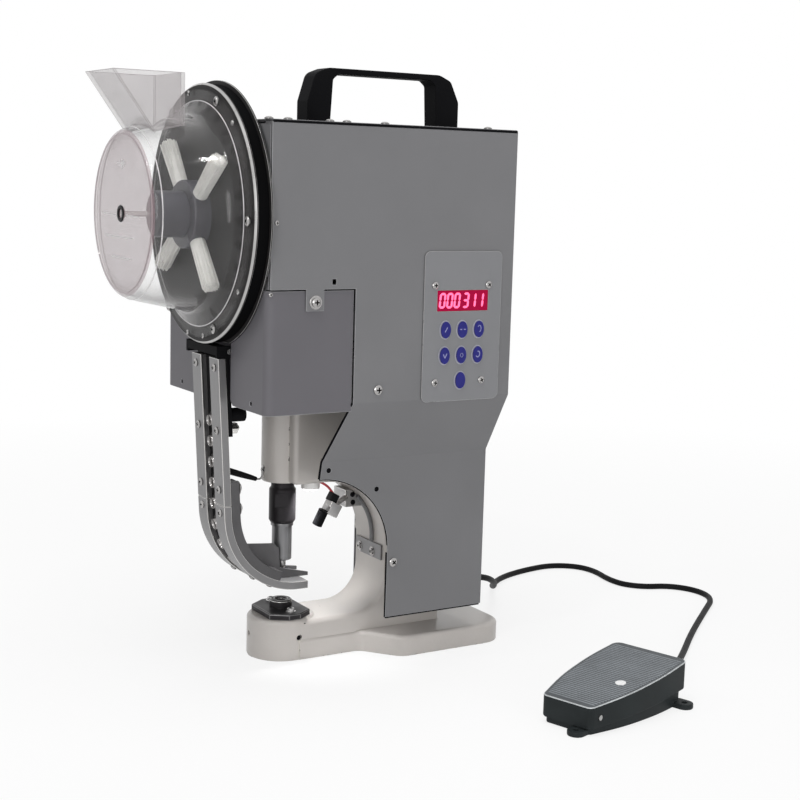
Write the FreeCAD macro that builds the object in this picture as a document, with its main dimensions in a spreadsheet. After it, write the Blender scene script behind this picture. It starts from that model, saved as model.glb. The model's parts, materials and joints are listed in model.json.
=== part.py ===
import FreeCAD, Part
import math
import os

doc = FreeCAD.newDocument("eyelet_machine")
V = FreeCAD.Vector

# Millimetres. The origin is the ram's axis on the plane the machine stands on.
# +Z is up, the throat and hopper face -Y, the control panel faces +X.
dims = doc.addObject("Spreadsheet::Sheet", "Dims")
table = [
    ("sheetThick", 1.5),
    ("boxHalf", 112.0),
    ("lowerHalf", 78.0),
    ("boxTop", 510.0),
    ("foldHigh", 262.0),
    ("foldLow", 203.0),
    ("lowerBottom", 46.0),
    ("boxRear", 184.0),
    ("boxFront", 72.0),
    ("coverFront", 74.0),
    ("coverHalf", 110.3),
    ("coverBottom", 255.0),
    ("coverHigh", 109.7),
    ("lidThick", 2.0),
    ("handleWide", 22.0),
    ("webWide", 64.0),
    ("footHigh", 20.5),
    ("bossRadius", 33.0),
    ("bossHigh", 40.0),
    ("headBottom", 172.5),
    ("headRadius", 21.0),
    ("armTop", 250.0),
    ("throatDeep", 100.0),
    ("hopperHigh", 427.0),
    ("plateRadius", 118.0),
    ("railHalf", 30.0),
    ("slotHalf", 9.5),
    ("railThick", 7.5),
    ("chuteRadius", 80.0),
    ("crankHigh", 296.0),
    ("crankThrow", 19.0),
    ("motorHigh", 400.0),
    ("motorRadius", 45.0),
    ("flywheelRadius", 62.0),
    ("pulleyRadius", 22.0),
    ("panelWide", 86.0),
    ("panelHigh", 140.0),
    ("panelThick", 1.4),
    ("keyLift", 1.2),
    ("cordRadius", 3.25),
]
for row, (alias, value) in enumerate(table, start=1):
    dims.set("A%d" % row, alias)
    dims.set("B%d" % row, str(value))
    dims.setAlias("B%d" % row, alias)
doc.recompute()


def d(alias):
    return float(dims.get(alias))


pieces = []


def bind(target, prop, value):
    if isinstance(value, str):
        target.setExpression(prop, value)
    else:
        setattr(target, prop, value)


def new_body(label, keep=True):
    body = doc.addObject("PartDesign::Body", label)
    body.Label = label
    if keep:
        pieces.append(body)
    return body


def sketch_on(body, role, offset=0.0, shift=(0.0, 0.0)):
    sketch = body.newObject("Sketcher::SketchObject", body.Label + "Sketch")
    for feature in body.Origin.OriginFeatures:
        if feature.Role == role:
            sketch.AttachmentSupport = (feature, [""])
    sketch.MapMode = "FlatFace"
    sketch.AttachmentOffset = FreeCAD.Placement(V(shift[0], shift[1], offset), FreeCAD.Rotation())
    return sketch


def arc(sketch, centre, radius, start, end):
    circle = Part.Circle(V(centre[0], centre[1], 0), V(0, 0, 1), radius)
    sketch.addGeometry(Part.ArcOfCircle(circle, start, end), False)


def line(sketch, start, end):
    sketch.addGeometry(Part.LineSegment(V(start[0], start[1], 0), V(end[0], end[1], 0)), False)


def ring(sketch, centre, radius):
    sketch.addGeometry(Part.Circle(V(centre[0], centre[1], 0), V(0, 0, 1), radius), False)


def outline(sketch, points):
    """A closed outline. A third number on a point rounds that corner."""
    corners = []
    count = len(points)
    for index, point in enumerate(points):
        here = V(point[0], point[1], 0)
        radius = point[2] if len(point) > 2 else 0.0
        if radius <= 0:
            corners.append((here, here, None, 0.0))
            continue
        before = points[index - 1]
        after = points[(index + 1) % count]
        back = (V(before[0], before[1], 0) - here).normalize()
        ahead = (V(after[0], after[1], 0) - here).normalize()
        half = back.getAngle(ahead) / 2.0
        reach = radius / math.tan(half)
        centre = here + (back + ahead).normalize() * (radius / math.sin(half))
        corners.append((here + back * reach, here + ahead * reach, centre, radius))
    for index in range(count):
        first, last, centre, radius = corners[index]
        if centre is not None:
            a0 = math.atan2(first.y - centre.y, first.x - centre.x)
            a1 = math.atan2(last.y - centre.y, last.x - centre.x)
            if (a1 - a0) % (2 * math.pi) > math.pi:
                a0, a1 = a1, a0
            arc(sketch, (centre.x, centre.y), radius, a0, a0 + (a1 - a0) % (2 * math.pi))
        follow = corners[(index + 1) % count][0]
        if (follow - last).Length > 1e-6:
            line(sketch, (last.x, last.y), (follow.x, follow.y))


def pad(body, sketch, length, reverse=False, both=False):
    feature = body.newObject("PartDesign::Pad", body.Label + "Pad")
    feature.Profile = sketch
    bind(feature, "Length", length)
    feature.Reversed = reverse
    if both:
        feature.SideType = "Symmetric"
    sketch.Visibility = False
    doc.recompute()
    return feature


def pocket(body, sketch, length, reverse=False, both=False):
    feature = body.newObject("PartDesign::Pocket", body.Label + "Pocket")
    feature.Profile = sketch
    bind(feature, "Length", length)
    feature.Reversed = reverse
    if both:
        feature.SideType = "Symmetric"
    sketch.Visibility = False
    doc.recompute()
    return feature


def turn(body, sketch, axis, kind="PartDesign::Revolution"):
    feature = body.newObject(kind, body.Label + "Turn")
    feature.Profile = sketch
    feature.ReferenceAxis = (sketch, [axis])
    feature.Angle = 360.0
    sketch.Visibility = False
    doc.recompute()
    return feature


def soften(body, radius, choose, kind="PartDesign::Fillet"):
    """Rounds or chamfers the edges of the body's tip that choose picks."""
    base = body.Tip
    names = []
    for index, edge in enumerate(base.Shape.Edges, start=1):
        if choose(edge):
            names.append("Edge%d" % index)
    feature = body.newObject(kind, body.Label + "Edge")
    feature.Base = (base, names)
    if kind == "PartDesign::Fillet":
        feature.Radius = radius
    else:
        feature.Size = radius
    doc.recompute()
    return feature


def lathe_y(label, points, high=427.0, across=0.0, keep=True):
    """A body turned about a line along Y. Points are (y, radius)."""
    body = new_body(label, keep)
    sketch = sketch_on(body, "YZ_Plane", across, (0.0, high))
    outline(sketch, points)
    turn(body, sketch, "H_Axis")
    return body


def lathe_z(label, points, keep=True):
    """A body turned about the ram's axis. Points are (radius, z)."""
    body = new_body(label, keep)
    sketch = sketch_on(body, "XZ_Plane")
    outline(sketch, points)
    turn(body, sketch, "V_Axis")
    return body


def box(name, low, high):
    made = doc.addObject("Part::Box", name)
    made.Length = high[0] - low[0]
    made.Width = high[1] - low[1]
    made.Height = high[2] - low[2]
    made.Placement.Base = V(*low)
    return made


def rod(name, start, end, radius):
    made = doc.addObject("Part::Cylinder", name)
    along = V(*end) - V(*start)
    bind(made, "Radius", radius)
    made.Height = along.Length
    made.Placement = FreeCAD.Placement(V(*start), FreeCAD.Rotation(V(0, 0, 1), along))
    return made


def fuse(name, shapes):
    made = doc.addObject("Part::MultiFuse", name)
    made.Shapes = shapes
    return made


def cut(name, base, tools):
    made = doc.addObject("Part::Cut", name)
    made.Base = base
    made.Tool = tools[0] if len(tools) == 1 else fuse(name + "Tools", tools)
    return made


def group(name, shapes):
    made = doc.addObject("Part::Compound", name)
    made.Links = shapes
    return made


def keep(made, label):
    made.Label = label
    pieces.append(made)
    return made


def at(value, target, slack=0.05):
    return abs(value - target) < slack


# --- Iron casting: foot, waist, boss, throat, arm and head in one body ---
casting = new_body("c_frame_casting")
web = d("webWide") / 2.0
deep = d("throatDeep")
foot = sketch_on(casting, "XY_Plane")
outline(foot, [(33.5, 4), (33.5, 70, 14), (70, 99, 18), (70, 222, 24), (-70, 222, 24),
               (-70, 99, 18), (-33.5, 70, 14), (-33.5, 4)])
pad(casting, foot, "Dims.footHigh")
soften(casting, 4.0, lambda e: at(e.BoundBox.ZMin, d("footHigh")) and at(e.BoundBox.ZMax, d("footHigh"))
       and e.BoundBox.YMax > 5)
frame = sketch_on(casting, "YZ_Plane")
outline(frame, [(-4, 250, 5), (-4, 172.5, 5), (deep, 172.5, 68), (deep, 38, 36), (0, 38), (0, 0), (165, 0),
                (165, 226, 22), (124, 226, 6), (124, 250)])
pad(casting, frame, "Dims.webWide", both=True)


def casting_side(edge):
    b = edge.BoundBox
    side = at(abs(b.XMin), web) and at(abs(b.XMax), web)
    return side and b.XMin * b.XMax > 0 and b.ZMax > 21 and b.ZMin > 20 and b.YMax - b.YMin + b.ZMax - b.ZMin > 1


soften(casting, 5.0, casting_side)
boss = sketch_on(casting, "XZ_Plane")
outline(boss, [(0, 0), (33, 0), (33, 40, 4), (0, 40)])
turn(casting, boss, "V_Axis")
head = sketch_on(casting, "XZ_Plane")
outline(head, [(0, 172.5), (21, 172.5, 2), (21, 250), (0, 250)])
turn(casting, head, "V_Axis")
bore = sketch_on(casting, "XY_Plane", 172.0)
ring(bore, (0, 0), 13.0)
pocket(casting, bore, 80.0, reverse=True)
socket = sketch_on(casting, "XY_Plane", 40.0)
ring(socket, (0, 0), 7.2)
pocket(casting, socket, 20.0)
screw_side = sketch_on(casting, "YZ_Plane", 33.2)
ring(screw_side, (4, 22), 2.5)
pocket(casting, screw_side, 9.0)
screw_front = sketch_on(casting, "XZ_Plane", 33.2)
ring(screw_front, (-3, 22), 2.5)
pocket(casting, screw_front, 9.0)
lugs = sketch_on(casting, "YZ_Plane")
ring(lugs, (134, 100), 9.0)
ring(lugs, (134, 180), 9.0)
pad(casting, lugs, 152.6, both=True)

bushes = []
for name, low in (("bushLow", 173.0), ("bushHigh", 226.0)):
    outer = rod(name + "Outer", (0, 0, low), (0, 0, low + 24), 12.9)
    inner = rod(name + "Inner", (0, 0, low - 1), (0, 0, low + 25), 10.06)
    bushes.append(cut(name, outer, [inner]))
keep(group("ramBushes", bushes), "ram_bushes")

# --- Drive frame with its two ball bearings ---
solid = fuse("driveFrameSolid", [
    box("drivePlate", (-50, 25, 250), (50, 123.5, 256)),
    box("wallFront", (-38, 28, 256), (38, 46, 340)),
    box("wallRear", (-38, 102, 256), (38, 120, 340)),
    box("shelf", (-54, 24, 340), (54, 123.5, 346)),
    box("ribLeft", (-38, 46, 256), (-32, 102, 276)),
    box("ribRight", (32, 46, 256), (38, 102, 276))])
keep(cut("driveFrame", solid, [
    rod("boreFront", (0, 27, 296), (0, 42, 296), 23.5),
    rod("boreRear", (0, 106, 296), (0, 121, 296), 23.5),
    rod("boreShaft", (0, 20, 296), (0, 130, 296), 14.0)]), "drive_frame")
bearings = []
for name, low in (("bearingFront", 28.0), ("bearingRear", 106.0)):
    outer = rod(name + "Outer", (0, low, 296), (0, low + 14, 296), 23.4)
    inner = rod(name + "Inner", (0, low - 1, 296), (0, low + 15, 296), 10.05)
    bearings.append(cut(name, outer, [inner]))
keep(group("mainBearings", bearings), "main_bearings")


# --- Folded side covers ---
def side_cover(label, hand):
    body = new_body(label)
    half = d("boxHalf") * hand
    low = d("lowerHalf") * hand
    thick = d("sheetThick") * hand
    profile = sketch_on(body, "XZ_Plane", d("boxFront"))
    outline(profile, [(half, 510), (half, 262, 3), (low, 203, 3), (low, 46), (low - thick, 46),
                      (low - thick, 203.4, 1.5), (half - thick, 262.4, 1.5), (half - thick, 508.5),
                      (half - 14 * hand, 508.5), (half - 14 * hand, 510)])
    pad(body, profile, "Dims.boxRear + Dims.boxFront", reverse=True)
    trim = sketch_on(body, "YZ_Plane")
    if hand > 0:
        # Throat arc about (0, 113), radius 74, between the slanted front edge and the lower one.
        top = math.asin(1.0 / 74.0) + math.pi / 2
        low_end = math.asin(4.0 / 74.0)
        line(trim, (-80, 366), (-37, 366))
        line(trim, (-37, 366), (-37, 347))
        line(trim, (-37, 347), (-19, 347))
        line(trim, (-19, 347), (-19, 366))
        line(trim, (-19, 366), (13, 366))
        line(trim, (13, 366), (13, 262))
        line(trim, (13, 262), (1, 203))
        line(trim, (1, 203), (74 * math.cos(top), 113 + 74 * math.sin(top)))
        arc(trim, (0, 113), 74, low_end, top)
        line(trim, (74 * math.cos(low_end), 113 + 74 * math.sin(low_end)), (73, 40))
        line(trim, (73, 40), (-80, 40))
        line(trim, (-80, 40), (-80, 366))
    else:
        # Cut back further: the whole throat stays open on this side.
        outline(trim, [(-80, 366), (-37, 366), (-37, 347), (-19, 347), (-19, 366), (13, 366), (13, 262),
                       (44, 203), (44, 182, 6), (126, 182, 10), (126, 40), (-80, 40)])
    pocket(body, trim, 300.0, both=True)
    holes = sketch_on(body, "YZ_Plane")
    outline(holes, [(-11, 370), (-7, 370), (-7, 375), (-11, 375)])
    if hand > 0:
        ring(holes, (8, 195), 2.5)
        ring(holes, (60, 173), 2.5)
        outline(holes, [(88, 264, 4), (166, 264, 4), (166, 394, 4), (88, 394, 4)])
    else:
        for step in range(7):
            level = 330.0 + 12.0 * step
            outline(holes, [(60, level, 1.9), (130, level, 1.9), (130, level + 4, 1.9), (60, level + 4, 1.9)])
    pocket(body, holes, 300.0, both=True)
    return body


side_cover("side_cover_right", 1)
side_cover("side_cover_left", -1)

# --- Rear panel, front panel, lid and head cover ---
rear = new_body("rear_panel")
face = sketch_on(rear, "XZ_Plane", -182.4)
outline(face, [(110.2, 508.3), (110.2, 262.3), (76.2, 203.3), (76.2, 46), (-76.2, 46), (-76.2, 203.3),
               (-110.2, 262.3), (-110.2, 508.3)])
pad(rear, face, "Dims.sheetThick", reverse=True)
ports = sketch_on(rear, "XZ_Plane", -180.0)
outline(ports, [(-91, 268, 2), (-49, 268, 2), (-49, 332, 2), (-91, 332, 2)])
ring(ports, (10, 56), 6.0)
pocket(rear, ports, 6.0)
vent = sketch_on(rear, "XZ_Plane", -180.0)
outline(vent, [(18, 380, 1.9), (84, 380, 1.9), (84, 384, 1.9), (18, 384, 1.9)])
slots = pocket(rear, vent, 6.0)
rows = rear.newObject("PartDesign::LinearPattern", "rear_panelRows")
rows.Originals = [slots]
rows.Direction = (vent, ["V_Axis"])
rows.Length = 77.0
rows.Occurrences = 8
rear.Tip = rows
doc.recompute()

front = new_body("front_panel")
sheet = sketch_on(front, "XZ_Plane", 70.5)
outline(sheet, [(-108.4, 508.3), (108.4, 508.3), (108.4, 366, 1), (101, 366), (101, 330, 3), (-101, 330, 3),
                (-101, 366), (-108.4, 366, 1)])
ring(sheet, (0, 427), 25.0)
pad(front, sheet, "Dims.sheetThick")

lid = new_body("top_lid")
lid_face = sketch_on(lid, "XY_Plane", 510.1)
outline(lid_face, [(-112, -73, 3), (112, -73, 3), (112, 184.5, 3), (-112, 184.5, 3)])
pad(lid, lid_face, "Dims.lidThick")
soften(lid, 0.8, lambda e: at(e.BoundBox.ZMin, 512.1))

cover = new_body("head_cover")
cover_face = sketch_on(cover, "XY_Plane", 255.0)
outline(cover_face, [(-110.3, 12), (-110.3, -74, 8), (110.3, -74, 8), (110.3, 12), (108.8, 12),
                     (108.8, -72.5, 6.5), (-108.8, -72.5, 6.5), (-108.8, 12)])
pad(cover, cover_face, "Dims.coverHigh")
mouth = sketch_on(cover, "XZ_Plane", 85.0)
outline(mouth, [(-43, 250), (43, 250), (43, 255), (42, 255), (37, 260, 4), (37, 330, 4), (-37, 330, 4),
                (-37, 260, 4), (-42, 255), (-43, 255)])
ring(mouth, (-74.5, 262.5), 2.2)
ring(mouth, (80, 262.5), 2.2)
pocket(cover, mouth, 30.0)

handle = new_body("carry_handle")
grip = sketch_on(handle, "YZ_Plane")
outline(grip, [(14, 512.2), (14, 534, 3), (22, 560, 10), (36, 565.5, 14), (160, 565.5, 14), (173, 560, 8),
               (182.5, 540, 6), (182.5, 512.2)])
outline(grip, [(38.5, 512.3), (41, 555, 4), (47, 560, 4), (149, 560, 4), (155, 555, 4), (157, 512.3)])
pad(handle, grip, "Dims.handleWide", both=True)

# --- Hopper: back plate, ring, face plate, clear bowl, funnel, brush wheel ---
back = lathe_y("hopper_back_plate", [(-76, 11), (-76, 121), (-74.3, 121), (-74.3, 11)])
flat = sketch_on(back, "YZ_Plane")
outline(flat, [(-82, 300), (-70, 300), (-70, 312), (-82, 312)])
pocket(back, flat, 250.0, both=True)
lathe_y("hopper_ring", [(-86.9, 104), (-86.9, 117.3), (-76.1, 117.3), (-76.1, 104)])
lathe_y("hopper_face_plate", [(-90, 12), (-90, 116.4), (-88.4, 118), (-87, 118), (-87, 12)])
bowl = lathe_y("hopper_bowl", [
    (-165, 4.5), (-165, 73.5, 7), (-150, 78.5, 30), (-101, 88.8, 10), (-92.7, 103, 2), (-92.7, 112),
    (-90.1, 112), (-90.1, 100.6), (-98.8, 86.6, 10), (-150, 75.9, 30), (-162.5, 71.6, 4.5), (-162.5, 4.5)])
gate = sketch_on(bowl, "XY_Plane", 450.0)
outline(gate, [(-31, -144, 2), (31, -144, 2), (31, -121.7, 2), (-31, -121.7, 2)])
pocket(bowl, gate, 80.0, reverse=True)
funnel = new_body("hopper_funnel")
scoop = sketch_on(funnel, "YZ_Plane")
outline(scoop, [(-186, 551, 0.6), (-119, 551, 0.6), (-119, 470), (-127.5, 470)])
pad(funnel, scoop, 68.0, both=True)
inside = sketch_on(funnel, "YZ_Plane")
outline(inside, [(-183.7, 552), (-121.5, 552), (-121.5, 469), (-123.7, 469)])
pocket(funnel, inside, 63.0, both=True)
under = sketch_on(funnel, "YZ_Plane", 0.0, (0.0, 427.0))
outline(under, [(-175, 0), (-175, 73.4), (-163, 74.4), (-150, 78.9), (-100, 89.5), (-100, 0)])
turn(funnel, under, "H_Axis", "PartDesign::Groove")

hub_blank = lathe_y("hubBlank", [
    (-163, 0), (-163, 2.5), (-134, 2.5), (-134, 21, 3), (-107.5, 21), (-107.5, 31, 2), (-91.2, 31),
    (-91.2, 5), (-63, 5), (-63, 0)], keep=False)
sockets = []
brushes = []
for count in range(4):
    angle = math.radians(38.0 + 90.0 * count)
    out = V(math.cos(angle), 0, math.sin(angle))
    centre = V(0, -99.4, 427)
    inner_end = centre + out * 23
    neck = centre + out * 31.3
    tip = centre + out * 84
    sockets.append(rod("socket%d" % count, tuple(inner_end), tuple(centre + out * 34), 5.6))
    stem = rod("brushStem%d" % count, tuple(inner_end), tuple(neck), 5.5)
    cone = doc.addObject("Part::Cone", "brushCone%d" % count)
    cone.Radius1 = 7.2
    cone.Radius2 = 8.6
    cone.Height = (tip - neck).Length
    cone.Placement = FreeCAD.Placement(neck, FreeCAD.Rotation(V(0, 0, 1), out))
    brushes.append(fuse("brush%d" % count, [stem, cone]))
keep(cut("brushHub", hub_blank, sockets), "brush_hub")
keep(group("brushSet", brushes), "brushes")

keep(cut("hopperMotor", fuse("hopperMotorSolid", [
    box("hopperFlange", (-30, -70.4, 397), (30, -66.4, 457)),
    rod("hopperGearbox", (0, -66.4, 427), (0, -44, 427), 21.0),
    rod("hopperCan", (0, -44, 427), (0, -14, 427), 17.0)]), [
    rod("hopperBore", (0, -75, 427), (0, -60, 427), 5.1)]), "hopper_motor")

keep(cut("outletBlock", fuse("outletSolid", [
    box("outletFront", (-32, -86.8, 300.5), (32, -79.6, 308.8)),
    box("earLeft", (-35, -86.8, 298), (-31, -66, 309.2)),
    box("earRight", (31, -86.8, 298), (35, -66, 309.2)),
    box("earLeftRear", (-35, -70.4, 298), (-31, -66, 352)),
    box("earRightRear", (31, -70.4, 298), (35, -66, 352)),
    box("outletBack", (-35, -70.4, 313), (35, -66, 352))]), [
    box("outletPassage", (-9.5, -85.3, 295), (9.5, -80.8, 315)),
    rod("outletPivot", (-40, -74, 304), (40, -74, 304), 2.6)]), "outlet_block")

# --- Swinging chute: every piece is an outline in the YZ plane with its own width in X ---
lean = math.atan2(8.3, 151.3)
arc_y, arc_z, arc_r = 5.0, 150.0, d("chuteRadius")


def on_chute(height, depth):
    """Where the straight part's line, depth behind the front face, is at that height."""
    start = V(arc_y - arc_r * math.cos(lean), arc_z - arc_r * math.sin(lean), 0)
    shifted = start + V(math.cos(lean), math.sin(lean), 0) * depth
    return (shifted.x - (height - shifted.y) * math.tan(lean), height)


def straight_band(sketch, low, high, near, far):
    outline(sketch, [on_chute(high, near), on_chute(low, near), on_chute(low, far), on_chute(high, far)])


def curved_band(sketch, start_z, near, far, end_y):
    outer = arc_r - near
    inner_r = arc_r - far
    first = math.pi + lean
    last = 1.5 * math.pi
    a = on_chute(start_z, near)
    b = (arc_y + outer * math.cos(first), arc_z + outer * math.sin(first))
    c = (arc_y + inner_r * math.cos(first), arc_z + inner_r * math.sin(first))
    e = on_chute(start_z, far)
    line(sketch, a, b)
    if end_y > arc_y:
        arc(sketch, (arc_y, arc_z), outer, first, last)
        arc(sketch, (arc_y, arc_z), inner_r, first, last)
        line(sketch, (arc_y, arc_z - outer), (end_y, arc_z - outer))
        line(sketch, (end_y, arc_z - outer), (end_y, arc_z - inner_r))
        line(sketch, (end_y, arc_z - inner_r), (arc_y, arc_z - inner_r))
    else:
        stop = 1.5 * math.pi - math.asin((arc_y - end_y) / outer)
        arc(sketch, (arc_y, arc_z), outer, first, stop)
        arc(sketch, (arc_y, arc_z), inner_r, first, stop)
        line(sketch, (arc_y + outer * math.cos(stop), arc_z + outer * math.sin(stop)),
             (arc_y + inner_r * math.cos(stop), arc_z + inner_r * math.sin(stop)))
    line(sketch, c, e)
    line(sketch, e, a)


slot_half = d("slotHalf")
rail_wide = d("railHalf") - slot_half
rails = {"chute_rails_upper": [], "chute_rails_lower": []}
for side, hand in (("Right", 1), ("Left", -1)):
    upper = new_body("railUpper" + side, keep=False)
    sketch = sketch_on(upper, "YZ_Plane", slot_half * hand)
    straight_band(sketch, 158.3, 297, 0, d("railThick"))
    pad(upper, sketch, "Dims.railHalf - Dims.slotHalf", reverse=hand < 0)
    groove = sketch_on(upper, "YZ_Plane", slot_half * hand)
    straight_band(groove, 150, 300, 1.5, 9.0)
    pocket(upper, groove, 2.0, reverse=hand > 0)
    rails["chute_rails_upper"].append(upper)
    lower = new_body("railLower" + side, keep=False)
    sketch = sketch_on(lower, "YZ_Plane", slot_half * hand)
    curved_band(sketch, 158, 0, d("railThick"), 14)
    pad(lower, sketch, "Dims.railHalf - Dims.slotHalf", reverse=hand < 0)
    groove = sketch_on(lower, "YZ_Plane", slot_half * hand)
    curved_band(groove, 160, 1.5, 9.0, 16)
    pocket(lower, groove, 2.0, reverse=hand > 0)
    rails["chute_rails_lower"].append(lower)
for label, pair in rails.items():
    keep(group(label + "Pair", pair), label)

floor = new_body("chute_floor")
sketch = sketch_on(floor, "YZ_Plane")
curved_band(sketch, 296.5, 6.2, 7.4, -16)
pad(floor, sketch, 22.6, both=True)

hanger = new_body("chute_hanger")
sketch = sketch_on(hanger, "YZ_Plane")
straight_band(sketch, 224, 303, 7.7, 11.7)
pad(hanger, sketch, 60.0, both=True)
sketch = sketch_on(hanger, "YZ_Plane")
ring(sketch, (-74, 304), 4.5)
pad(hanger, sketch, 60.0, both=True)
sketch = sketch_on(hanger, "YZ_Plane")
ring(sketch, (-74, 304), 2.6)
pocket(hanger, sketch, 70.0, both=True)
knob = sketch_on(hanger, "XZ_Plane", 71.5)
ring(knob, (20, 243), 6.6)
pad(hanger, knob, 19.5, reverse=True)
keep(rod("chutePin", (-35.8, -74, 304), (35.8, -74, 304), 2.5), "chute_pivot_pin")

joiner = new_body("chute_joint_bracket")
sketch = sketch_on(joiner, "YZ_Plane", 13.4)
curved_band(sketch, 181, 7.7, 16.5, -16)
pad(joiner, sketch, 16.6)

fingers = []
for name, hand, points in (
        ("fingerRight", 1, [(22.7, 81.2), (-8, 88.6), (-9.5, 107.9), (-14.9, 113.4), (-55, 117)]),
        ("fingerLeft", -1, [(22.7, 81.2), (-8, 86), (-30, 96)])):
    body = new_body(name, keep=False)
    sketch = sketch_on(body, "YZ_Plane", 10.8 * hand)
    last_y, last_z = points[-1]
    rim = 72.2
    stop = math.pi + math.asin((arc_z - last_z) / rim)
    touch = (arc_y + rim * math.cos(stop), last_z)
    arc(sketch, (arc_y, arc_z), rim, stop, 1.5 * math.pi)
    line(sketch, (arc_y, arc_z - rim), (22.7, arc_z - rim))
    line(sketch, (22.7, arc_z - rim), points[0])
    for a, b in zip(points[:-1], points[1:]):
        line(sketch, a, b)
    if abs(last_y - touch[0]) > 1e-6:
        line(sketch, points[-1], touch)
    pad(body, sketch, 2.2, reverse=hand < 0)
    fingers.append(body)
keep(group("gateFingers", fingers), "gate_fingers")

# Return spring: its stub seats on the back of the chute's floor, its hook at the barrel.
keep(fuse("returnSpring", [
    cut("springCoil", rod("springOuter", (0, -67.5, 189.1), (0, -28, 175.3), 3.2), [
        rod("springInner", (0, -64, 187.9), (0, -31.8, 176.6), 1.9)]),
    rod("springStub", (0, -66.5, 188.8), (0, -69.1, 189.7), 1.8),
    rod("springHook", (0, -28.6, 175.5), (0, -21.8, 180.9), 1.2)]), "return_spring")

# --- Ram and its tooling ---
ram = lathe_z("ram_shaft", [(0, 171.2), (9.95, 171.2, 0.8), (9.95, 293.5), (0, 293.5)])
yoke = sketch_on(ram, "XZ_Plane")
outline(yoke, [(-37, 293, 4), (37, 293, 4), (37, 337, 4), (-37, 337, 4)])
pad(ram, yoke, 12.0, both=True)
track = sketch_on(ram, "XZ_Plane")
outline(track, [(-29, 302.5, 8), (29, 302.5, 8), (29, 327.5, 8), (-29, 327.5, 8)])
pocket(ram, track, 20.0, both=True)

holder = lathe_z("holderBlank", [
    (0, 157), (5.5, 157), (5.5, 131), (11.4, 131), (13, 133.6), (13, 164, 1), (11.2, 166.2), (11.2, 171), (0, 171)],
    keep=False)
flats = []
for name, turned in (("flatNear", -31.5), ("flatFar", 148.5)):
    tool = box(name, (0, 0, 0), (4, 30, 13))
    rotation = FreeCAD.Rotation(V(0, 0, 1), turned)
    tool.Placement = FreeCAD.Placement(rotation.multVec(V(11.4, -15, 0)) + V(0, 0, 147), rotation)
    flats.append(tool)
keep(cut("punchHolder", holder, flats), "punch_holder")
lathe_z("punch", [(4.6, 94), (9.1, 94), (9.75, 94.7), (9.75, 127.8), (11, 127.8), (11, 130.8), (4.6, 130.8)])
lathe_z("pilot_pin", [(0, 83.5), (2, 83.5), (4.3, 86.5), (4.3, 131.3), (5.2, 131.3), (5.2, 135), (0, 135)])
lathe_z("pilot_spring", [(3.4, 135.2), (5.1, 135.2), (5.1, 156.8), (3.4, 156.8)])

# --- Crankshaft, flywheel, belt, motor ---
crank = lathe_y("crankshaft", [(10.6, 0), (10.6, 35, 2), (21, 35, 2), (21, 14), (27.5, 14), (27.5, 9.95),
                               (152, 9.95), (152, 0)], high=296.0)
pin = sketch_on(crank, "XZ_Plane", 5.0)
ring(pin, (0, 315), 8.0)
pad(crank, pin, 16.0, reverse=True)
lathe_y("flywheel", [
    (126, 10.05), (126, 18), (132, 18), (132, 50), (126, 50), (126, 62), (131.5, 62), (133.5, 56), (142.5, 56),
    (144.5, 62), (150, 62), (150, 50), (144, 50), (144, 18), (150, 18), (150, 10.05)], high=296.0)
lathe_y("motor_pulley", [
    (84, 0), (84, 6), (126, 6), (126, 22), (131.5, 22), (133.5, 16), (142.5, 16), (144.5, 22), (150, 22),
    (150, 0)], high=400.0)
belt = new_body("drive_belt")
loop = sketch_on(belt, "XZ_Plane", -134.0)
for big, small in ((61.0, 21.0), (56.4, 16.4)):
    tilt = math.asin((big - small) / 104.0)
    arc(loop, (0, 296), big, math.pi - tilt, 2 * math.pi + tilt)
    arc(loop, (0, 400), small, tilt, math.pi - tilt)
    for hand in (1, -1):
        line(loop, (hand * big * math.cos(tilt), 296 + big * math.sin(tilt)),
             (hand * small * math.cos(tilt), 400 + small * math.sin(tilt)))
pad(belt, loop, 8.0, reverse=True)
keep(cut("motorSolid", fuse("motorBlank", [
    rod("motorCan", (0, 10, 400), (0, 108, 400), "Dims.motorRadius"),
    rod("motorNose", (0, 108, 400), (0, 114, 400), 16.0),
    box("motorFoot", (-40, 24, 346), (40, 100, 366))]), [
    rod("motorBore", (0, 80, 400), (0, 120, 400), 6.2)]), "motor")

# --- Die ---
die_plate = new_body("die_plate")
sketch = sketch_on(die_plate, "XY_Plane", 40.1)
outline(sketch, [(31, 6), (20, 22), (-20, 22), (-31, 6), (-31, -6), (-20, -22), (20, -22), (31, -6)])
ring(sketch, (0, 0), 7.2)
pad(die_plate, sketch, 5.9)
soften(die_plate, 1.0, lambda e: at(e.BoundBox.ZMin, 46) and e.BoundBox.DiagonalLength > 11 and
       not at(e.BoundBox.XLength, 14.4), "PartDesign::Chamfer")
lathe_z("die", [(5, 20.2), (7, 20.2), (7, 46.2), (11, 46.2), (11, 52.8), (9.8, 54), (6.6, 54), (5, 52.6)])

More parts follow.
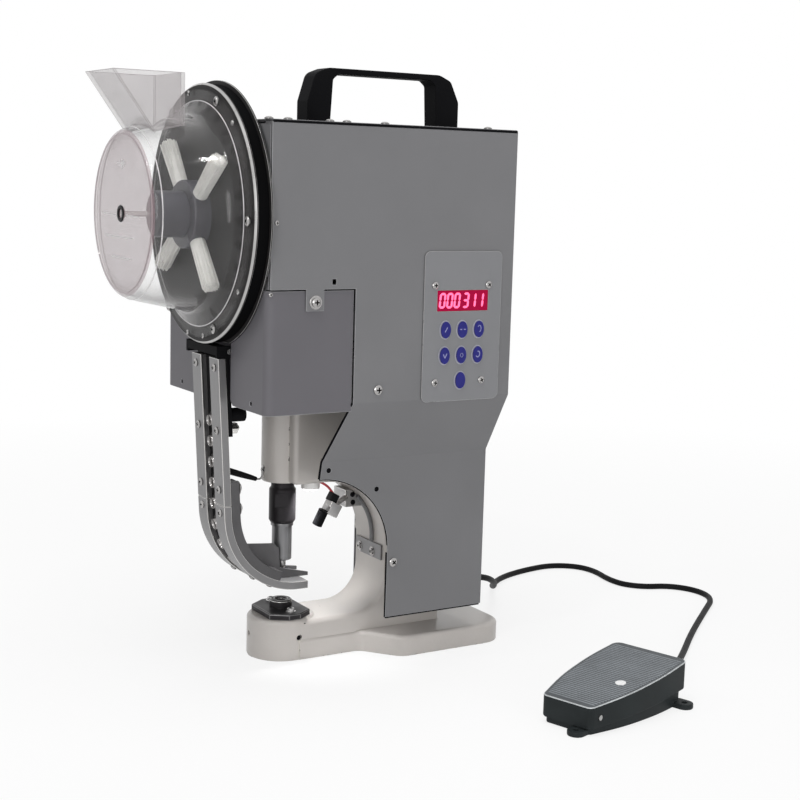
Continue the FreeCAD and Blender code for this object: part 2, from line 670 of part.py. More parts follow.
# --- Throat fittings: lamp bracket, laser pointer, lamp, cable plate ---
wall = rod("throatTool", (-60, 32, 104.5), (60, 32, 104.5), 67.6)
block = doc.addObject("Part::Common", "clampBlock")
block.Base = box("clampRaw", (-20, 68, 139.5), (4, 92, 157))
block.Tool = wall
cube = box("holderCube", (-6.5, -6.5, -6.5), (6.5, 6.5, 6.5))
cube.Placement = FreeCAD.Placement(V(20, 43.5, 144), FreeCAD.Rotation(V(1, 0, 0), -30))
cube.Placement = cube.Placement.multiply(FreeCAD.Placement(V(-6.5, -6.5, -6.5), FreeCAD.Rotation()))
aim = V(-20, -30, -84).normalize()
laser_mid = V(20, 31.5, 136)
keep(cut("lampBracket", fuse("lampBracketSolid", [
    block, cube, rod("lampArm", (-2, 74, 150), (20, 46, 146), 2.6)]), [
    rod("laserSeat", tuple(laser_mid - aim * 14), tuple(laser_mid + aim * 14), 5.1)]), "lamp_bracket")
keep(rod("laser", tuple(laser_mid - aim * 8), tuple(laser_mid + aim * 8), 5.0), "laser_pointer")
keep(rod("lamp", (16, 22, 165.5), (16, 22, 172.4), 9.0), "throat_lamp")

# --- Control panel on the right cover ---
keys = [("key_1", 108.5, 326.6), ("key_2", 127.0, 326.6), ("key_3", 145.5, 326.6), ("key_4", 108.0, 302.6),
        ("key_5", 126.5, 302.6), ("key_6", 145.0, 302.6), ("key_7", 126.3, 278.8)]
plate = new_body("control_plate")
sketch = sketch_on(plate, "YZ_Plane", 112.1)
outline(sketch, [(84.2, 259.5, 6), (170.2, 259.5, 6), (170.2, 399.5, 6), (84.2, 399.5, 6)])
outline(sketch, [(98.8, 343.8, 1), (155.4, 343.8, 1), (155.4, 363.4, 1), (98.8, 363.4, 1)])
for name, y, z in keys:
    ring(sketch, (y, z), 2.75)
pad(plate, sketch, "Dims.panelThick")
window = new_body("display_window")
sketch = sketch_on(window, "YZ_Plane", 111.6)
outline(sketch, [(99, 344, 1), (155.2, 344, 1), (155.2, 363.2, 1), (99, 363.2, 1)])
pad(window, sketch, 1.7)
for name, y, z in keys:
    key = new_body(name)
    sketch = sketch_on(key, "YZ_Plane", 114.15)
    ellipse = Part.Ellipse(V(y, z + 7.8, 0), V(y + 5.4, z, 0), V(y, z, 0))
    sketch.addGeometry(ellipse, False)
    pad(key, sketch, "Dims.keyLift")
    sketch = sketch_on(key, "YZ_Plane", 101.0)
    ring(sketch, (y, z), 2.5)
    pad(key, sketch, 13.6)
keep(fuse("controlBoard", [
    box("boardSheet", (97, 86, 262), (98.6, 168, 396)),
    box("boardDisplay", (98.5, 97, 341.5), (111, 157, 365.7)),
    box("boardChip", (90, 100, 290), (97.1, 130, 320)),
    box("boardRelay", (82, 134, 352), (97.1, 160, 384))]), "control_board")

# --- Rear fittings ---
keep(cut("inletSolid", fuse("inletBlank", [
    box("inletFlange", (-94, 184.1, 264), (-46, 186.6, 336)),
    box("inletBody", (-90, 158, 269), (-50, 184.2, 331))]), [
    box("inletRecess", (-84, 168, 276), (-56, 190, 297)),
    box("rockerRecess", (-78, 172, 305.5), (-62, 190, 330.5))]), "power_inlet")
rocker = new_body("switch_rocker")
sketch = sketch_on(rocker, "YZ_Plane", -77.3)
outline(sketch, [(178.5, 314), (178.5, 322), (184.6, 328.6), (190.2, 328.0, 1), (186.4, 318), (186.6, 308.0, 1),
                 (182.8, 308.2)])
pad(rocker, sketch, 14.6)
gland = new_body("cable_gland")
sketch = sketch_on(gland, "YZ_Plane", 10.0, (0.0, 56.0))
outline(sketch, [(180.5, 0), (180.5, 5.8), (184.05, 5.8), (184.05, 8.5), (189, 8.5), (190, 7), (196, 5.4), (196, 0)])
turn(gland, sketch, "H_Axis")

# --- Foot pedal: cast base, hinged pedal, pin ---
pedal_at = V(299.8, 124.8, 0)
pedal_turn = FreeCAD.Rotation(V(0, 0, 1), math.degrees(1.87))
place = FreeCAD.Placement(pedal_at, pedal_turn)


def pedal_plan(toe, toe_half, waist_half, hip_half, heel, heel_half, corners):
    """Plan outline with bowed long sides, the toe at x = toe and the heel at x = heel."""
    near = [(toe, toe_half, corners[0]), (40, waist_half, 270), (88, hip_half, 310), (heel, heel_half, corners[1])]
    return near + [(x, -y, r) for x, y, r in reversed(near)]


def pedal_body(label, role, offset, points, length, **more):
    body = new_body(label, keep=False)
    sketch = sketch_on(body, role, offset)
    outline(sketch, points)
    pad(body, sketch, length, **more)
    return body


plan = pedal_plan(0, 23, 33.5, 37.8, 128, 36, (5, 8))
shell = pedal_body("pedalShell", "XY_Plane", 0.0, plan, 34.0)
room = pedal_body("pedalRoom", "XY_Plane", 3.0, pedal_plan(4, 19.5, 29.7, 34, 124, 32, (3, 5)), 50.0)
slope = box("pedalSlope", (0, 0, 0), (220, 120, 60))
slope.Placement = FreeCAD.Placement(V(-20, -60, 15.5), FreeCAD.Rotation(V(0, 1, 0), -2.4))
ears = []
for name, x, y in (("earToe", -6, -14), ("earHeelA", 120, -44), ("earHeelB", 120, 44)):
    ears.append(rod(name, (x, y, 0), (x, y, 5), 8.0))
web_a = box("earWebA", (112, -44, 0), (128, -34, 5))
web_b = box("earWebB", (112, 34, 0), (128, 44, 5))
web_c = box("earWebC", (-6, -22, 0), (4, -6, 5))
nose = rod("pedalNose", (126, 0, 16), (136.2, 0, 16), 5.5)
holes = [room, slope, rod("pedalPinHole", (9, -40, 15), (9, 40, 15), 2.6)]
for index, (x, y) in enumerate(((-6, -14), (120, -44), (120, 44))):
    holes.append(rod("earHole%d" % index, (x, y, -1), (x, y, 6), 2.5))
base_made = cut("pedalBaseSolid", fuse("pedalBaseBlank", [shell, nose, web_a, web_b, web_c] + ears), holes)
tread_plan = pedal_plan(-2.2, 25.6, 36.2, 40.4, 132, 38.8, (6, 8))
tread = pedal_body("pedalTread", "XY_Plane", 0.0, tread_plan, 60.0)
tread_low = box("treadLow", (-60, -60, -60), (200, 60, 0))
tread_low.Placement = FreeCAD.Placement(V(0, 0, 17.3), FreeCAD.Rotation(V(0, 1, 0), -6.5))
tread_low.Placement = tread_low.Placement.multiply(FreeCAD.Placement(V(-60, -60, -60), FreeCAD.Rotation()))
tread_high = box("treadHigh", (0, 0, 0), (300, 120, 80))
tread_high.Placement = FreeCAD.Placement(V(0, 0, 25.5), FreeCAD.Rotation(V(0, 1, 0), -6.5))
tread_high.Placement = tread_high.Placement.multiply(FreeCAD.Placement(V(-80, -60, 0), FreeCAD.Rotation()))
lugs_made = []
for name, y in (("lugA", -17.0), ("lugB", 13.0)):
    lugs_made.append(rod(name, (9, y, 15), (9, y + 4, 15), 4.4))
lug_webs = [box("lugWebA", (4.8, -17, 15), (13.2, -13, 22)), box("lugWebB", (4.8, 13, 15), (13.2, 17, 22))]
tread_made = cut("treadTop", tread, [tread_low, tread_high])
# The tread's sides reach down round the base. Their lower edge rises to the heel and stays over the ears when pressed.
side_blank = pedal_body("treadSideBlank", "XY_Plane", 0.0, tread_plan, 60.0)
side_room = pedal_body("treadSideRoom", "XY_Plane", 0.0, pedal_plan(-0.7, 23.9, 34.4, 38.6, 129, 36.9, (5, 8)), 60.0)
side_low = box("treadSideLow", (0, 0, 0), (260, 120, 60))
side_low.Placement = FreeCAD.Placement(V(0, 0, 6.0), FreeCAD.Rotation(V(0, 1, 0), -3.98))
side_low.Placement = side_low.Placement.multiply(FreeCAD.Placement(V(-60, -60, -60), FreeCAD.Rotation()))
cord_notch = box("treadCordNotch", (122, -7.5, 0), (136, 7.5, 31))
sides_made = cut("treadSides", side_blank, [side_room, side_low, tread_high, cord_notch])
skirt = pedal_body("pedalSkirt", "XY_Plane", 14.0,
                   [(6, 18.2, 3), (122.4, 30.6, 5), (122.4, -30.6, 5), (6, -18.2, 3)], 30.0)
skirt_room = pedal_body("pedalSkirtRoom", "XY_Plane", 10.0,
                        [(8, 16.2, 2), (120.4, 28.4, 4), (120.4, -28.4, 4), (8, -16.2, 2)], 50.0)
skirt_made = cut("skirtWalls", skirt, [skirt_room, tread_high])
pedal_blank = fuse("pedalPlateBlank", [tread_made, sides_made, skirt_made] + lugs_made + lug_webs)
pedal_made = cut("pedalPlateSolid", pedal_blank, [
    rod("pedalPinBore", (9, -30, 15), (9, 30, 15), 2.6)])
pin_made = rod("pedalPinRaw", (9, -28.6, 15), (9, 28.6, 15), 2.5)
doc.recompute()
for made, label in ((base_made, "pedal_base"), (pedal_made, "pedal_plate"), (pin_made, "pedal_pin")):
    placed = doc.addObject("Part::Compound", label)
    placed.Links = [made]
    placed.Placement = place
    keep(placed, label)

# --- Cord: straight runs joined by tangent arcs, from the machine's gland to the pedal's ---
corners = [
    (10, 196.25, 56), (10, 234, 51), (-16, 267, 35), (-53, 293, 17), (-92, 317, 5.2), (-121, 351, 3.6),
    (-136, 396, 3.6), (-141, 443, 3.6), (-110, 474, 3.6), (-45, 458, 3.6), (-15.6, 475, 3.6), (-4.4, 509, 3.6),
    (25.6, 525, 3.6), (58.6, 517, 3.6), (89.4, 477.6, 3.6), (148, 404, 3.6), (194, 352, 3.6), (228, 313, 8),
    (249.7, 287.6, 14.8), (259.66, 255.16, 16)]
stops = [V(*corner) for corner in corners]
edges = []
start = stops[0]
for before, here, after in zip(stops[:-2], stops[1:-1], stops[2:]):
    come = (here - before).normalize()
    leave = (after - here).normalize()
    half = come.getAngle(leave) / 2.0
    reach = 0.45 * min((here - before).Length, (after - here).Length)
    enter = here - come * reach
    depart = here + leave * reach
    radius = reach / math.tan(half)
    centre = here + (leave - come).normalize() * (radius / math.cos(half))
    middle = centre + (here - centre).normalize() * radius
    edges.append(Part.makeLine(start, enter))
    edges.append(Part.Arc(enter, middle, depart).toShape())
    start = depart
edges.append(Part.makeLine(start, stops[-1]))
path = doc.addObject("Part::Feature", "cordPath")
path.Shape = Part.Wire(edges)
section = doc.addObject("Part::Circle", "cordSection")
section.setExpression("Radius", "Dims.cordRadius")
section.Placement = FreeCAD.Placement(stops[0], FreeCAD.Rotation(V(0, 0, 1), stops[1] - stops[0]))
cord = doc.addObject("Part::Sweep", "switchCord")
cord.Sections = [section]
cord.Spine = (path, ["Edge%d" % (index + 1) for index in range(len(edges))])
cord.Solid = True
cord.Frenet = False
cord.Transition = "Right corner"
doc.recompute()
keep(cord, "switch_cord")
length = path.Shape.Length
drawn = math.pi * d("cordRadius") ** 2 * length
print("cord length %.1f mm, volume %.0f of %.0f" % (length, cord.Shape.Volume, drawn))

doc.recompute()
bad = []
for item in doc.Objects:
    if "Invalid" in item.State or "Error" in item.State:
        bad.append(item.Name)
os.makedirs("parts", exist_ok=True)
for piece in pieces:
    shape = piece.Shape
    if shape.isNull() or not shape.isValid() or not shape.Solids:
        bad.append(piece.Label)
if bad:
    raise RuntimeError("not sound: " + ", ".join(bad))
for piece in pieces:
    piece.Shape.exportStep("parts/%s.step" % piece.Label)
    size = piece.Shape.BoundBox
    print("%-24s solids %d  x %.1f..%.1f  y %.1f..%.1f  z %.1f..%.1f" % (
        piece.Label, len(piece.Shape.Solids), size.XMin, size.XMax, size.YMin, size.YMax, size.ZMin, size.ZMax))
print("pieces", len(pieces))
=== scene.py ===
import bpy
import bmesh
import json
import math
import random
from mathutils import Matrix, Vector


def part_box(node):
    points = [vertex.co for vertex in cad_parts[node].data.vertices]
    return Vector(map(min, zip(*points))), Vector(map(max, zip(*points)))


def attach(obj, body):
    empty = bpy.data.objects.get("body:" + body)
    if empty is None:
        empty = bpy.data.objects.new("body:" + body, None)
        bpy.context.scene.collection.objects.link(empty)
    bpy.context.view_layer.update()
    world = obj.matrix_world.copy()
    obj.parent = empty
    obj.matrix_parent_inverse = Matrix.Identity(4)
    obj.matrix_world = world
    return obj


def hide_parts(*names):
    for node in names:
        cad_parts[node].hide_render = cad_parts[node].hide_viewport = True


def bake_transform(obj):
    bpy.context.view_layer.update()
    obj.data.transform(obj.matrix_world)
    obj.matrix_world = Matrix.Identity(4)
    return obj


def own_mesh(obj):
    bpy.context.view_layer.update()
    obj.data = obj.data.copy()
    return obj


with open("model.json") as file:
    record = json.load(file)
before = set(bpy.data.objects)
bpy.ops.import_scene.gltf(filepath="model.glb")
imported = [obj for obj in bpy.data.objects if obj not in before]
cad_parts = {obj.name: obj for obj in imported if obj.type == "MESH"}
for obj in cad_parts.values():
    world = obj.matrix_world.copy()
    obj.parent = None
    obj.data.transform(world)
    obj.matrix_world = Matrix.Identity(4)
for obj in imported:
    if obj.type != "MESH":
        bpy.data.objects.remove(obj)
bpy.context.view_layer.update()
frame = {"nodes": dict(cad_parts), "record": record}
cadNodes = frame["nodes"]
milli = 0.001
print("frame is in")


def addObject(name, data):
    made = bpy.data.objects.new(name, data)
    bpy.context.scene.collection.objects.link(made)
    return made


def finalMesh(holder):
    bpy.context.view_layer.update()
    return bpy.data.meshes.new_from_object(holder.evaluated_get(bpy.context.evaluated_depsgraph_get()))


# ---- camera, lights and floor ----
camera = {"place": (1.2751, -0.6505, 0.4670), "azimuth": 58.5, "elevation": 8.5, "roll": 1.6, "focal": 67.5}


def placeCamera(c):
    az, el, roll = (math.radians(c[k]) for k in ("azimuth", "elevation", "roll"))
    back = Vector((math.sin(az) * math.cos(el), -math.cos(az) * math.cos(el), math.sin(el)))
    right = Vector((math.cos(az), math.sin(az), 0))
    up = back.cross(right)
    side = right * math.cos(roll) + up * math.sin(roll)
    top = up * math.cos(roll) - right * math.sin(roll)
    data = bpy.data.cameras.new("mainCamera")
    data.lens = c["focal"]
    data.sensor_width = 36.0
    data.clip_start = 0.05
    data.clip_end = 200.0
    holder = addObject("mainCamera", data)
    holder.matrix_world = Matrix.Translation(c["place"]) @ Matrix((side, top, back)).transposed().to_4x4()
    bpy.context.scene.camera = holder


placeCamera(camera)
bpy.context.scene.view_settings.view_transform = "Standard"

lamps = [
    {"name": "keyLamp", "place": (1.9, -1.7, 0.8), "aim": (0, 0.05, 0.2), "size": 1.3, "power": 15},
    {"name": "sideLamp", "place": (2.2, 0.4, 0.3), "aim": (0, 0.1, 0.12), "size": 1.1, "power": 15},
    {"name": "topLamp", "place": (0.2, -0.1, 2.3), "aim": (0, 0.05, 0.2), "size": 1.3, "power": 25},
    {"name": "glintTop", "place": (0.58, -0.71, 1.76), "aim": (0, -0.12, 0.43), "size": 0.11, "power": 3.2},
    {"name": "glintFront", "place": (-0.24, -1.33, 1.27), "aim": (0, -0.12, 0.43), "size": 0.09, "power": 2.0},
    {"name": "glintSide", "place": (0.64, 0.0, 1.86), "aim": (0, -0.12, 0.43), "size": 0.05, "power": 0.8},
    {"name": "throatGlow", "place": (0.016, 0.012, 0.163), "aim": (0.008, 0.03, 0.046), "size": 0.008, "power": 0.9,
     "cone": 84},
    {"name": "rearLamp", "place": (-1.6, 1.8, 1.2), "aim": (0, 0.1, 0.3), "size": 1.2, "power": 8},
]
for lamp in lamps:
    light = bpy.data.lights.new(lamp["name"], "SPOT" if "cone" in lamp else "AREA")
    if "cone" in lamp:
        light.spot_size = math.radians(lamp["cone"])
        light.spot_blend = 0.8
        light.shadow_soft_size = lamp["size"]
    else:
        light.size = lamp["size"]
    light.energy = lamp["power"]
    holder = addObject(lamp["name"], light)
    aim = Vector(lamp["aim"]) - Vector(lamp["place"])
    holder.rotation_euler = aim.to_track_quat("-Z", "Y").to_euler()
    holder.location = lamp["place"]
    # broad lamps would leave squares in the gloss
    holder.visible_glossy = lamp["size"] < 0.2 or lamp["name"] == "keyLamp"


class Graph:
    def __init__(self, tree):
        self.tree = tree

    def add(self, kind, settings=None, **inputs):
        node = self.tree.nodes.new(kind)
        for key, value in (settings or {}).items():
            setattr(node, key, value)
        for key, value in inputs.items():
            name = key.replace("_", " ")
            spots = [s for s in node.inputs if s.name == name and s.enabled]
            self.put(spots[0] if spots else node.inputs[int(key[1:])], value)
        return node

    def put(self, spot, value):
        if isinstance(value, bpy.types.NodeSocket):
            self.tree.links.new(value, spot)
        else:
            spot.default_value = value

    def maths(self, operation, a, b, clamp=False):
        return self.add("ShaderNodeMath", {"operation": operation, "use_clamp": clamp}, i0=a, i1=b).outputs[0]

    def remap(self, value, low, high, start=0.0, end=1.0):
        return self.add("ShaderNodeMapRange", i0=value, i1=low, i2=high, i3=start, i4=end).outputs[0]

    def noise(self, place, scale, detail, roughness):
        node = self.add("ShaderNodeTexNoise", Vector=place, Scale=scale, Detail=detail, Roughness=roughness)
        return outputOf(node, "Fac")

    def tinted(self, share, a, b):
        return outputOf(self.add("ShaderNodeMix", {"data_type": "RGBA"}, Factor=share, A=a, B=b), "Result")

    def layered(self, share, under, over):
        return self.add("ShaderNodeMixShader", Fac=share, i1=under, i2=over).outputs[0]

    def bumped(self, strength, depth, height):
        return self.add("ShaderNodeBump", Strength=strength, Distance=depth, Height=height).outputs[0]


def outputOf(node, name):
    return [s for s in node.outputs if s.name == name and s.enabled][0]


def seenRays(graph):
    # 1 where a camera, mirror or see-through ray looks, so the backdrop shows in metal and glass too
    path = graph.add("ShaderNodeLightPath")
    first = graph.maths("MAXIMUM", outputOf(path, "Is Camera Ray"), outputOf(path, "Is Glossy Ray"))
    return graph.maths("MAXIMUM", first, outputOf(path, "Is Transmission Ray"))


world = bpy.data.worlds.new("studio")
bpy.context.scene.world = world
world.use_nodes = True
world.node_tree.nodes.clear()
sky = Graph(world.node_tree)
studio = {"ambient": 0.33, "seen": 1.0}
plain = sky.add("ShaderNodeBackground", Color=(1, 1, 1, 1), Strength=studio["ambient"])
shown = sky.add("ShaderNodeBackground", Color=(1, 1, 1, 1), Strength=studio["seen"])
sky.add("ShaderNodeOutputWorld", Surface=sky.layered(seenRays(sky), plain.outputs[0], shown.outputs[0]))

floorMesh = bpy.data.meshes.new("studioFloor")
reach = 40.0
floorCorners = [(-reach, -reach, 0), (reach, -reach, 0), (reach, reach, 0), (-reach, reach, 0)]
floorMesh.from_pydata(floorCorners, [], [(0, 1, 2, 3)])
floor = addObject("studioFloor", floorMesh)
floorLook = bpy.data.materials.new("floorWhite")
floorLook.use_nodes = True
floorLook.node_tree.nodes.clear()
ground = Graph(floorLook.node_tree)
matt = ground.add("ShaderNodeBsdfDiffuse", Color=(0.86, 0.86, 0.86, 1))
glow = ground.add("ShaderNodeEmission", Color=(1, 1, 1, 1), Strength=1.0)
spot = ground.add("ShaderNodeTexCoord")
underMachine = (0.08, 0.15, 0)
middle = ground.add("ShaderNodeVectorMath", {"operation": "SUBTRACT"}, i0=outputOf(spot, "Object"), i1=underMachine)
away = ground.add("ShaderNodeVectorMath", {"operation": "LENGTH"}, i0=middle.outputs[0])
outer = ground.remap(outputOf(away, "Value"), 0.45, 1.5, 0.8, 1.0)
seen = ground.maths("MULTIPLY", seenRays(ground), outer)
ground.add("ShaderNodeOutputMaterial", Surface=ground.layered(seen, matt.outputs[0], glow.outputs[0]))
floorMesh.materials.append(floorLook)
print("camera, lamps and floor are set")


# ---- finishes ----
def makeFinish(name, colour, rough, metal=0.0, mottle=0.06, mottleScale=14.0, spread=0.05, grain=0.0,
               grainScale=900.0, grainDepth=0.0002, stretch=(1, 1, 1), chips=None, coat=0.0, shine=0.5, recess=False):
    look = bpy.data.materials.new(name)
    look.use_nodes = True
    look.diffuse_color = (*colour, 1)
    graph = Graph(look.node_tree)
    shader = look.node_tree.nodes["Principled BSDF"]
    for label, value in (("Metallic", metal), ("Specular IOR Level", shine), ("Coat Weight", coat),
                         ("Coat Roughness", 0.12)):
        shader.inputs[label].default_value = value
    place = graph.add("ShaderNodeTexCoord")
    mapped = graph.add("ShaderNodeMapping", Vector=outputOf(place, "Object"), Scale=stretch)
    broad = graph.noise(mapped.outputs[0], mottleScale, 4.0, 0.55)
    dark = tuple(c * (1 - mottle) for c in colour) + (1,)
    light = tuple(min(1.0, c * (1 + mottle)) for c in colour) + (1,)
    tint = graph.tinted(graph.remap(broad, 0.3, 0.7), dark, light)
    if chips:
        spots = graph.noise(outputOf(place, "Object"), chips["scale"], 5.0, 0.62)
        edge = graph.remap(spots, chips["level"], chips["level"] + 0.012)
        tint = graph.tinted(edge, tint, (*chips["colour"], 1))
    # painted shade: faces marked in the recess attribute, deep in a screw's recess or round its head's foot, are
    # darkened to near black
    if recess:
        sunk = graph.add("ShaderNodeAttribute", {"attribute_name": "recess"})
        tint = graph.tinted(outputOf(sunk, "Fac"), tint, (0.006, 0.006, 0.006, 1))
    graph.put(shader.inputs["Base Color"], tint)
    graph.put(shader.inputs["Roughness"], graph.remap(broad, 0.3, 0.7, max(0.02, rough - spread),
                                                      min(1.0, rough + spread)))
    if grain:
        fine = graph.noise(mapped.outputs[0], grainScale, 2.0, 0.5)
        graph.put(shader.inputs["Normal"], graph.bumped(grain, grainDepth, fine))
    return look


def makeClear(name, tint, haze, rough=0.06, face=0.04, edge=0.6, dustAndSheen=0.1, ripple=0.0, rippleScale=30.0,
              skin=(0.01, 0.45)):
    # thin moulded plastic: see-through face on, milky along its wall, with a shiny skin
    look = bpy.data.materials.new(name)
    look.use_nodes = True
    look.diffuse_color = (*tint, 0.35)
    graph = Graph(look.node_tree)
    shader = look.node_tree.nodes["Principled BSDF"]
    shader.inputs["Roughness"].default_value = rough
    shader.inputs["IOR"].default_value = 1.49
    shader.inputs["Base Color"].default_value = (*haze, 1)
    place = graph.add("ShaderNodeTexCoord")
    cloud = graph.noise(outputOf(place, "Object"), 38.0, 5.0, 0.62)
    facing = outputOf(graph.add("ShaderNodeLayerWeight", Blend=0.5), "Facing")
    wall = graph.remap(graph.maths("POWER", facing, 3.6), 0.0, 1.0, face, edge)
    # random specks of dust; on the rim beads they break up the painted highlight
    specks = graph.remap(cloud, 0.45, 0.8, 0.0, dustAndSheen)
    graph.put(shader.inputs["Alpha"], graph.maths("ADD", wall, specks, clamp=True))
    mirror = graph.add("ShaderNodeBsdfGlossy", Color=(1, 1, 1, 1), Roughness=rough)
    shine = graph.remap(graph.maths("POWER", facing, 5.0), 0.0, 1.0, *skin)
    if ripple:
        wave = graph.bumped(ripple, 0.002, graph.noise(outputOf(place, "Object"), rippleScale, 1.0, 0.5))
        for spot in (shader.inputs["Normal"], mirror.inputs["Normal"]):
            graph.put(spot, wave)
    both = graph.layered(shine, shader.outputs[0], mirror.outputs[0])
    graph.put(look.node_tree.nodes["Material Output"].inputs["Surface"], both)
    return look


# colour, roughness, metal, then what differs from makeFinish's own values
plainLooks = {
    "housingPaint": ((0.168, 0.168, 0.174), 0.5, 0.1, dict(mottle=0.05, mottleScale=9, spread=0.04, shine=0.3,
        grain=0.22, grainScale=1500, grainDepth=0.0001)),
    # painted shade: a darker copy of the housing paint, worn by the head cover
    "coverPaint": ((0.122, 0.118, 0.129), 0.5, 0.1, dict(mottle=0.05, mottleScale=9, spread=0.04, shine=0.3,
        grain=0.22, grainScale=1500, grainDepth=0.0001)),
    "groundSteel": ((0.20, 0.20, 0.205), 0.33, 0.75, dict(mottle=0.3, mottleScale=90, spread=0.08, grain=0.1,
        stretch=(3, 3, 0.08))),
    "screwSteel": ((0.40, 0.39, 0.385), 0.2, 0.9, dict(mottle=0.1, mottleScale=90, recess=True)),
    "dieSteel": ((0.55, 0.54, 0.54), 0.25, 0.9, dict(mottle=0.2, mottleScale=90, recess=True)),
    "castAluminium": ((0.50, 0.49, 0.49), 0.4, 0.5, dict(mottle=0.12, mottleScale=60, grain=0.2)),
    # painted shade: opaque dark grey on the funnel's broken edges, for the dark look of clear edges
    "clearEdge": ((0.30, 0.28, 0.285), 0.4, 0.0, dict(mottle=0.3, mottleScale=60, shine=0.2)),
    "darkEdge": ((0.13, 0.128, 0.13), 0.32, 0.7, dict(mottle=0.3, mottleScale=120)),
    "treadBase": ((0.075, 0.082, 0.088), 0.5, 0.0, dict(mottle=0.2, mottleScale=45, grain=0.15, shine=0.2)),
    "lampWhite": ((0.72, 0.71, 0.70), 0.4, 0.0, dict(mottle=0.05)),
    "cableGrey": ((0.16, 0.16, 0.165), 0.45, 0.0, dict(mottle=0.1, grain=0.1)),
    # edge wear and painted highlight: the lighter, metallic look on the housing's broken edges
    "housingEdge": ((0.34, 0.34, 0.35), 0.38, 0.5, dict(mottle=0.2, mottleScale=90)),
    "castingPaint": ((0.47, 0.443, 0.420), 0.36, 0.0, dict(mottle=0.05, mottleScale=18, grain=0.3, grainScale=420,
        grainDepth=0.0004, coat=0.25, chips={"scale": 34, "level": 0.715, "colour": (0.05, 0.045, 0.04)})),
    "castingEdge": ((0.47, 0.445, 0.41), 0.42, 0.0, dict(mottle=0.15, mottleScale=60, coat=0.1,
        chips={"scale": 110, "level": 0.60, "colour": (0.05, 0.045, 0.04)})),
    "darkPlate": ((0.024, 0.0225, 0.0225), 0.5, 0.0, dict(mottle=0.35, mottleScale=9, spread=0.08,
        stretch=(1, 1, 3), shine=0.1)),
    "plateEdge": ((0.44, 0.435, 0.43), 0.3, 0.9, dict(mottle=0.12, mottleScale=60)),
    "blackPlastic": ((0.010, 0.010, 0.011), 0.4, 0.0, dict(mottle=0.25, mottleScale=20, grain=0.1, grainScale=1100,
        shine=0.12)),
    "blackSatin": ((0.006, 0.006, 0.0068), 0.62, 0.0, dict(mottle=0.2, mottleScale=15, grain=0.22, grainScale=1300,
        shine=0.04)),
    "ringBlack": ((0.003, 0.003, 0.0033), 0.75, 0.0, dict(mottle=0.2, mottleScale=15, grain=0.2, grainScale=1300,
        shine=0.02)),
    "slotDark": ((0.009, 0.009, 0.0095), 0.5, 0.0, dict(mottle=0.2, mottleScale=60, grain=0.1, shine=0.1)),
    # painted shade: worn by the lid's side faces
    "lidEdge": ((0.045, 0.045, 0.047), 0.5, 0.1, dict(mottle=0.1, shine=0.3)),
    "bandGrey": ((0.085, 0.083, 0.086), 0.42, 0.4, dict(mottle=0.12, mottleScale=50, grain=0.15)),
    "aluminium": ((0.215, 0.212, 0.215), 0.36, 0.6, dict(mottle=0.1, mottleScale=25, spread=0.08, grain=0.2,
        grainScale=500, stretch=(1, 1, 0.06))),
    "steel": ((0.40, 0.395, 0.39), 0.26, 0.95, dict(mottle=0.12, mottleScale=40, spread=0.06, grain=0.15,
        grainScale=900, stretch=(0.2, 0.2, 3))),
    "brightSteel": ((0.66, 0.65, 0.63), 0.2, 0.95, dict(mottle=0.1, mottleScale=90)),
    "gunmetal": ((0.024, 0.022, 0.024), 0.4, 0.3, dict(mottle=0.18, mottleScale=60, spread=0.07, grain=0.15,
        grainScale=800, shine=0.15)),
    "bronze": ((0.42, 0.27, 0.11), 0.4, 0.9, dict(mottle=0.1)),
    "motorGrey": ((0.09, 0.095, 0.10), 0.5, 0.2, dict(mottle=0.08, grain=0.1)),
    "hubPlastic": ((0.062, 0.06, 0.072), 0.42, 0.05, dict(mottle=0.15, mottleScale=30, spread=0.08)),
    "bristle": ((0.76, 0.75, 0.715), 0.6, 0.0, dict(mottle=0.1, mottleScale=60, grain=0.2, grainScale=700)),
    "panelGrey": ((0.192, 0.194, 0.203), 0.5, 0.1, dict(mottle=0.03, mottleScale=30, grain=0.08, grainScale=1200)),
    "keyBlue": ((0.028, 0.028, 0.175), 0.45, 0.0, dict(mottle=0.08, mottleScale=120, shine=0.08)),
    "keyMark": ((0.30, 0.31, 0.50), 0.5, 0.0, dict(mottle=0.05)),
    "keyRim": ((0.36, 0.36, 0.42), 0.5, 0.0, dict(mottle=0.05)),
    "circuitGreen": ((0.02, 0.12, 0.05), 0.45, 0.0, dict(mottle=0.2, mottleScale=80)),
    "beltRubber": ((0.010, 0.010, 0.010), 0.6, 0.0, dict(mottle=0.2, mottleScale=50, grain=0.3, grainScale=700,
        shine=0.05)),
    "cordBlack": ((0.007, 0.007, 0.0075), 0.5, 0.0, dict(mottle=0.2, mottleScale=40, grain=0.12, grainScale=900,
        shine=0.08)),
    "pedalGrey": ((0.185, 0.20, 0.215), 0.48, 0.0, dict(mottle=0.12, mottleScale=45, grain=0.2, grainScale=700)),
    # pedalDark is also the painted shade on the tread's sides
    "pedalDark": ((0.017, 0.0205, 0.0215), 0.5, 0.0, dict(mottle=0.2, mottleScale=30, grain=0.15, shine=0.12)),
    # painted highlight: the light edges round the tread's top
    "pedalRim": ((0.46, 0.48, 0.49), 0.4, 0.0, dict(mottle=0.25, mottleScale=120)),
    "dotWhite": ((0.80, 0.80, 0.80), 0.4, 0.0, dict(mottle=0.02)),
    "wireRed": ((0.50, 0.035, 0.045), 0.4, 0.0, dict(mottle=0.08)),
    "eyeletDark": ((0.30, 0.29, 0.285), 0.2, 0.9, dict(mottle=0.2, mottleScale=120)),
    "bowlMark": ((0.62, 0.60, 0.61), 0.5, 0.0, dict(mottle=0.04)),
    # painted shade: the near-black worn by the hole discs and the gap strips
    "seamDark": ((0.006, 0.006, 0.007), 0.7, 0.0, dict(mottle=0.1, shine=0.02)),
}
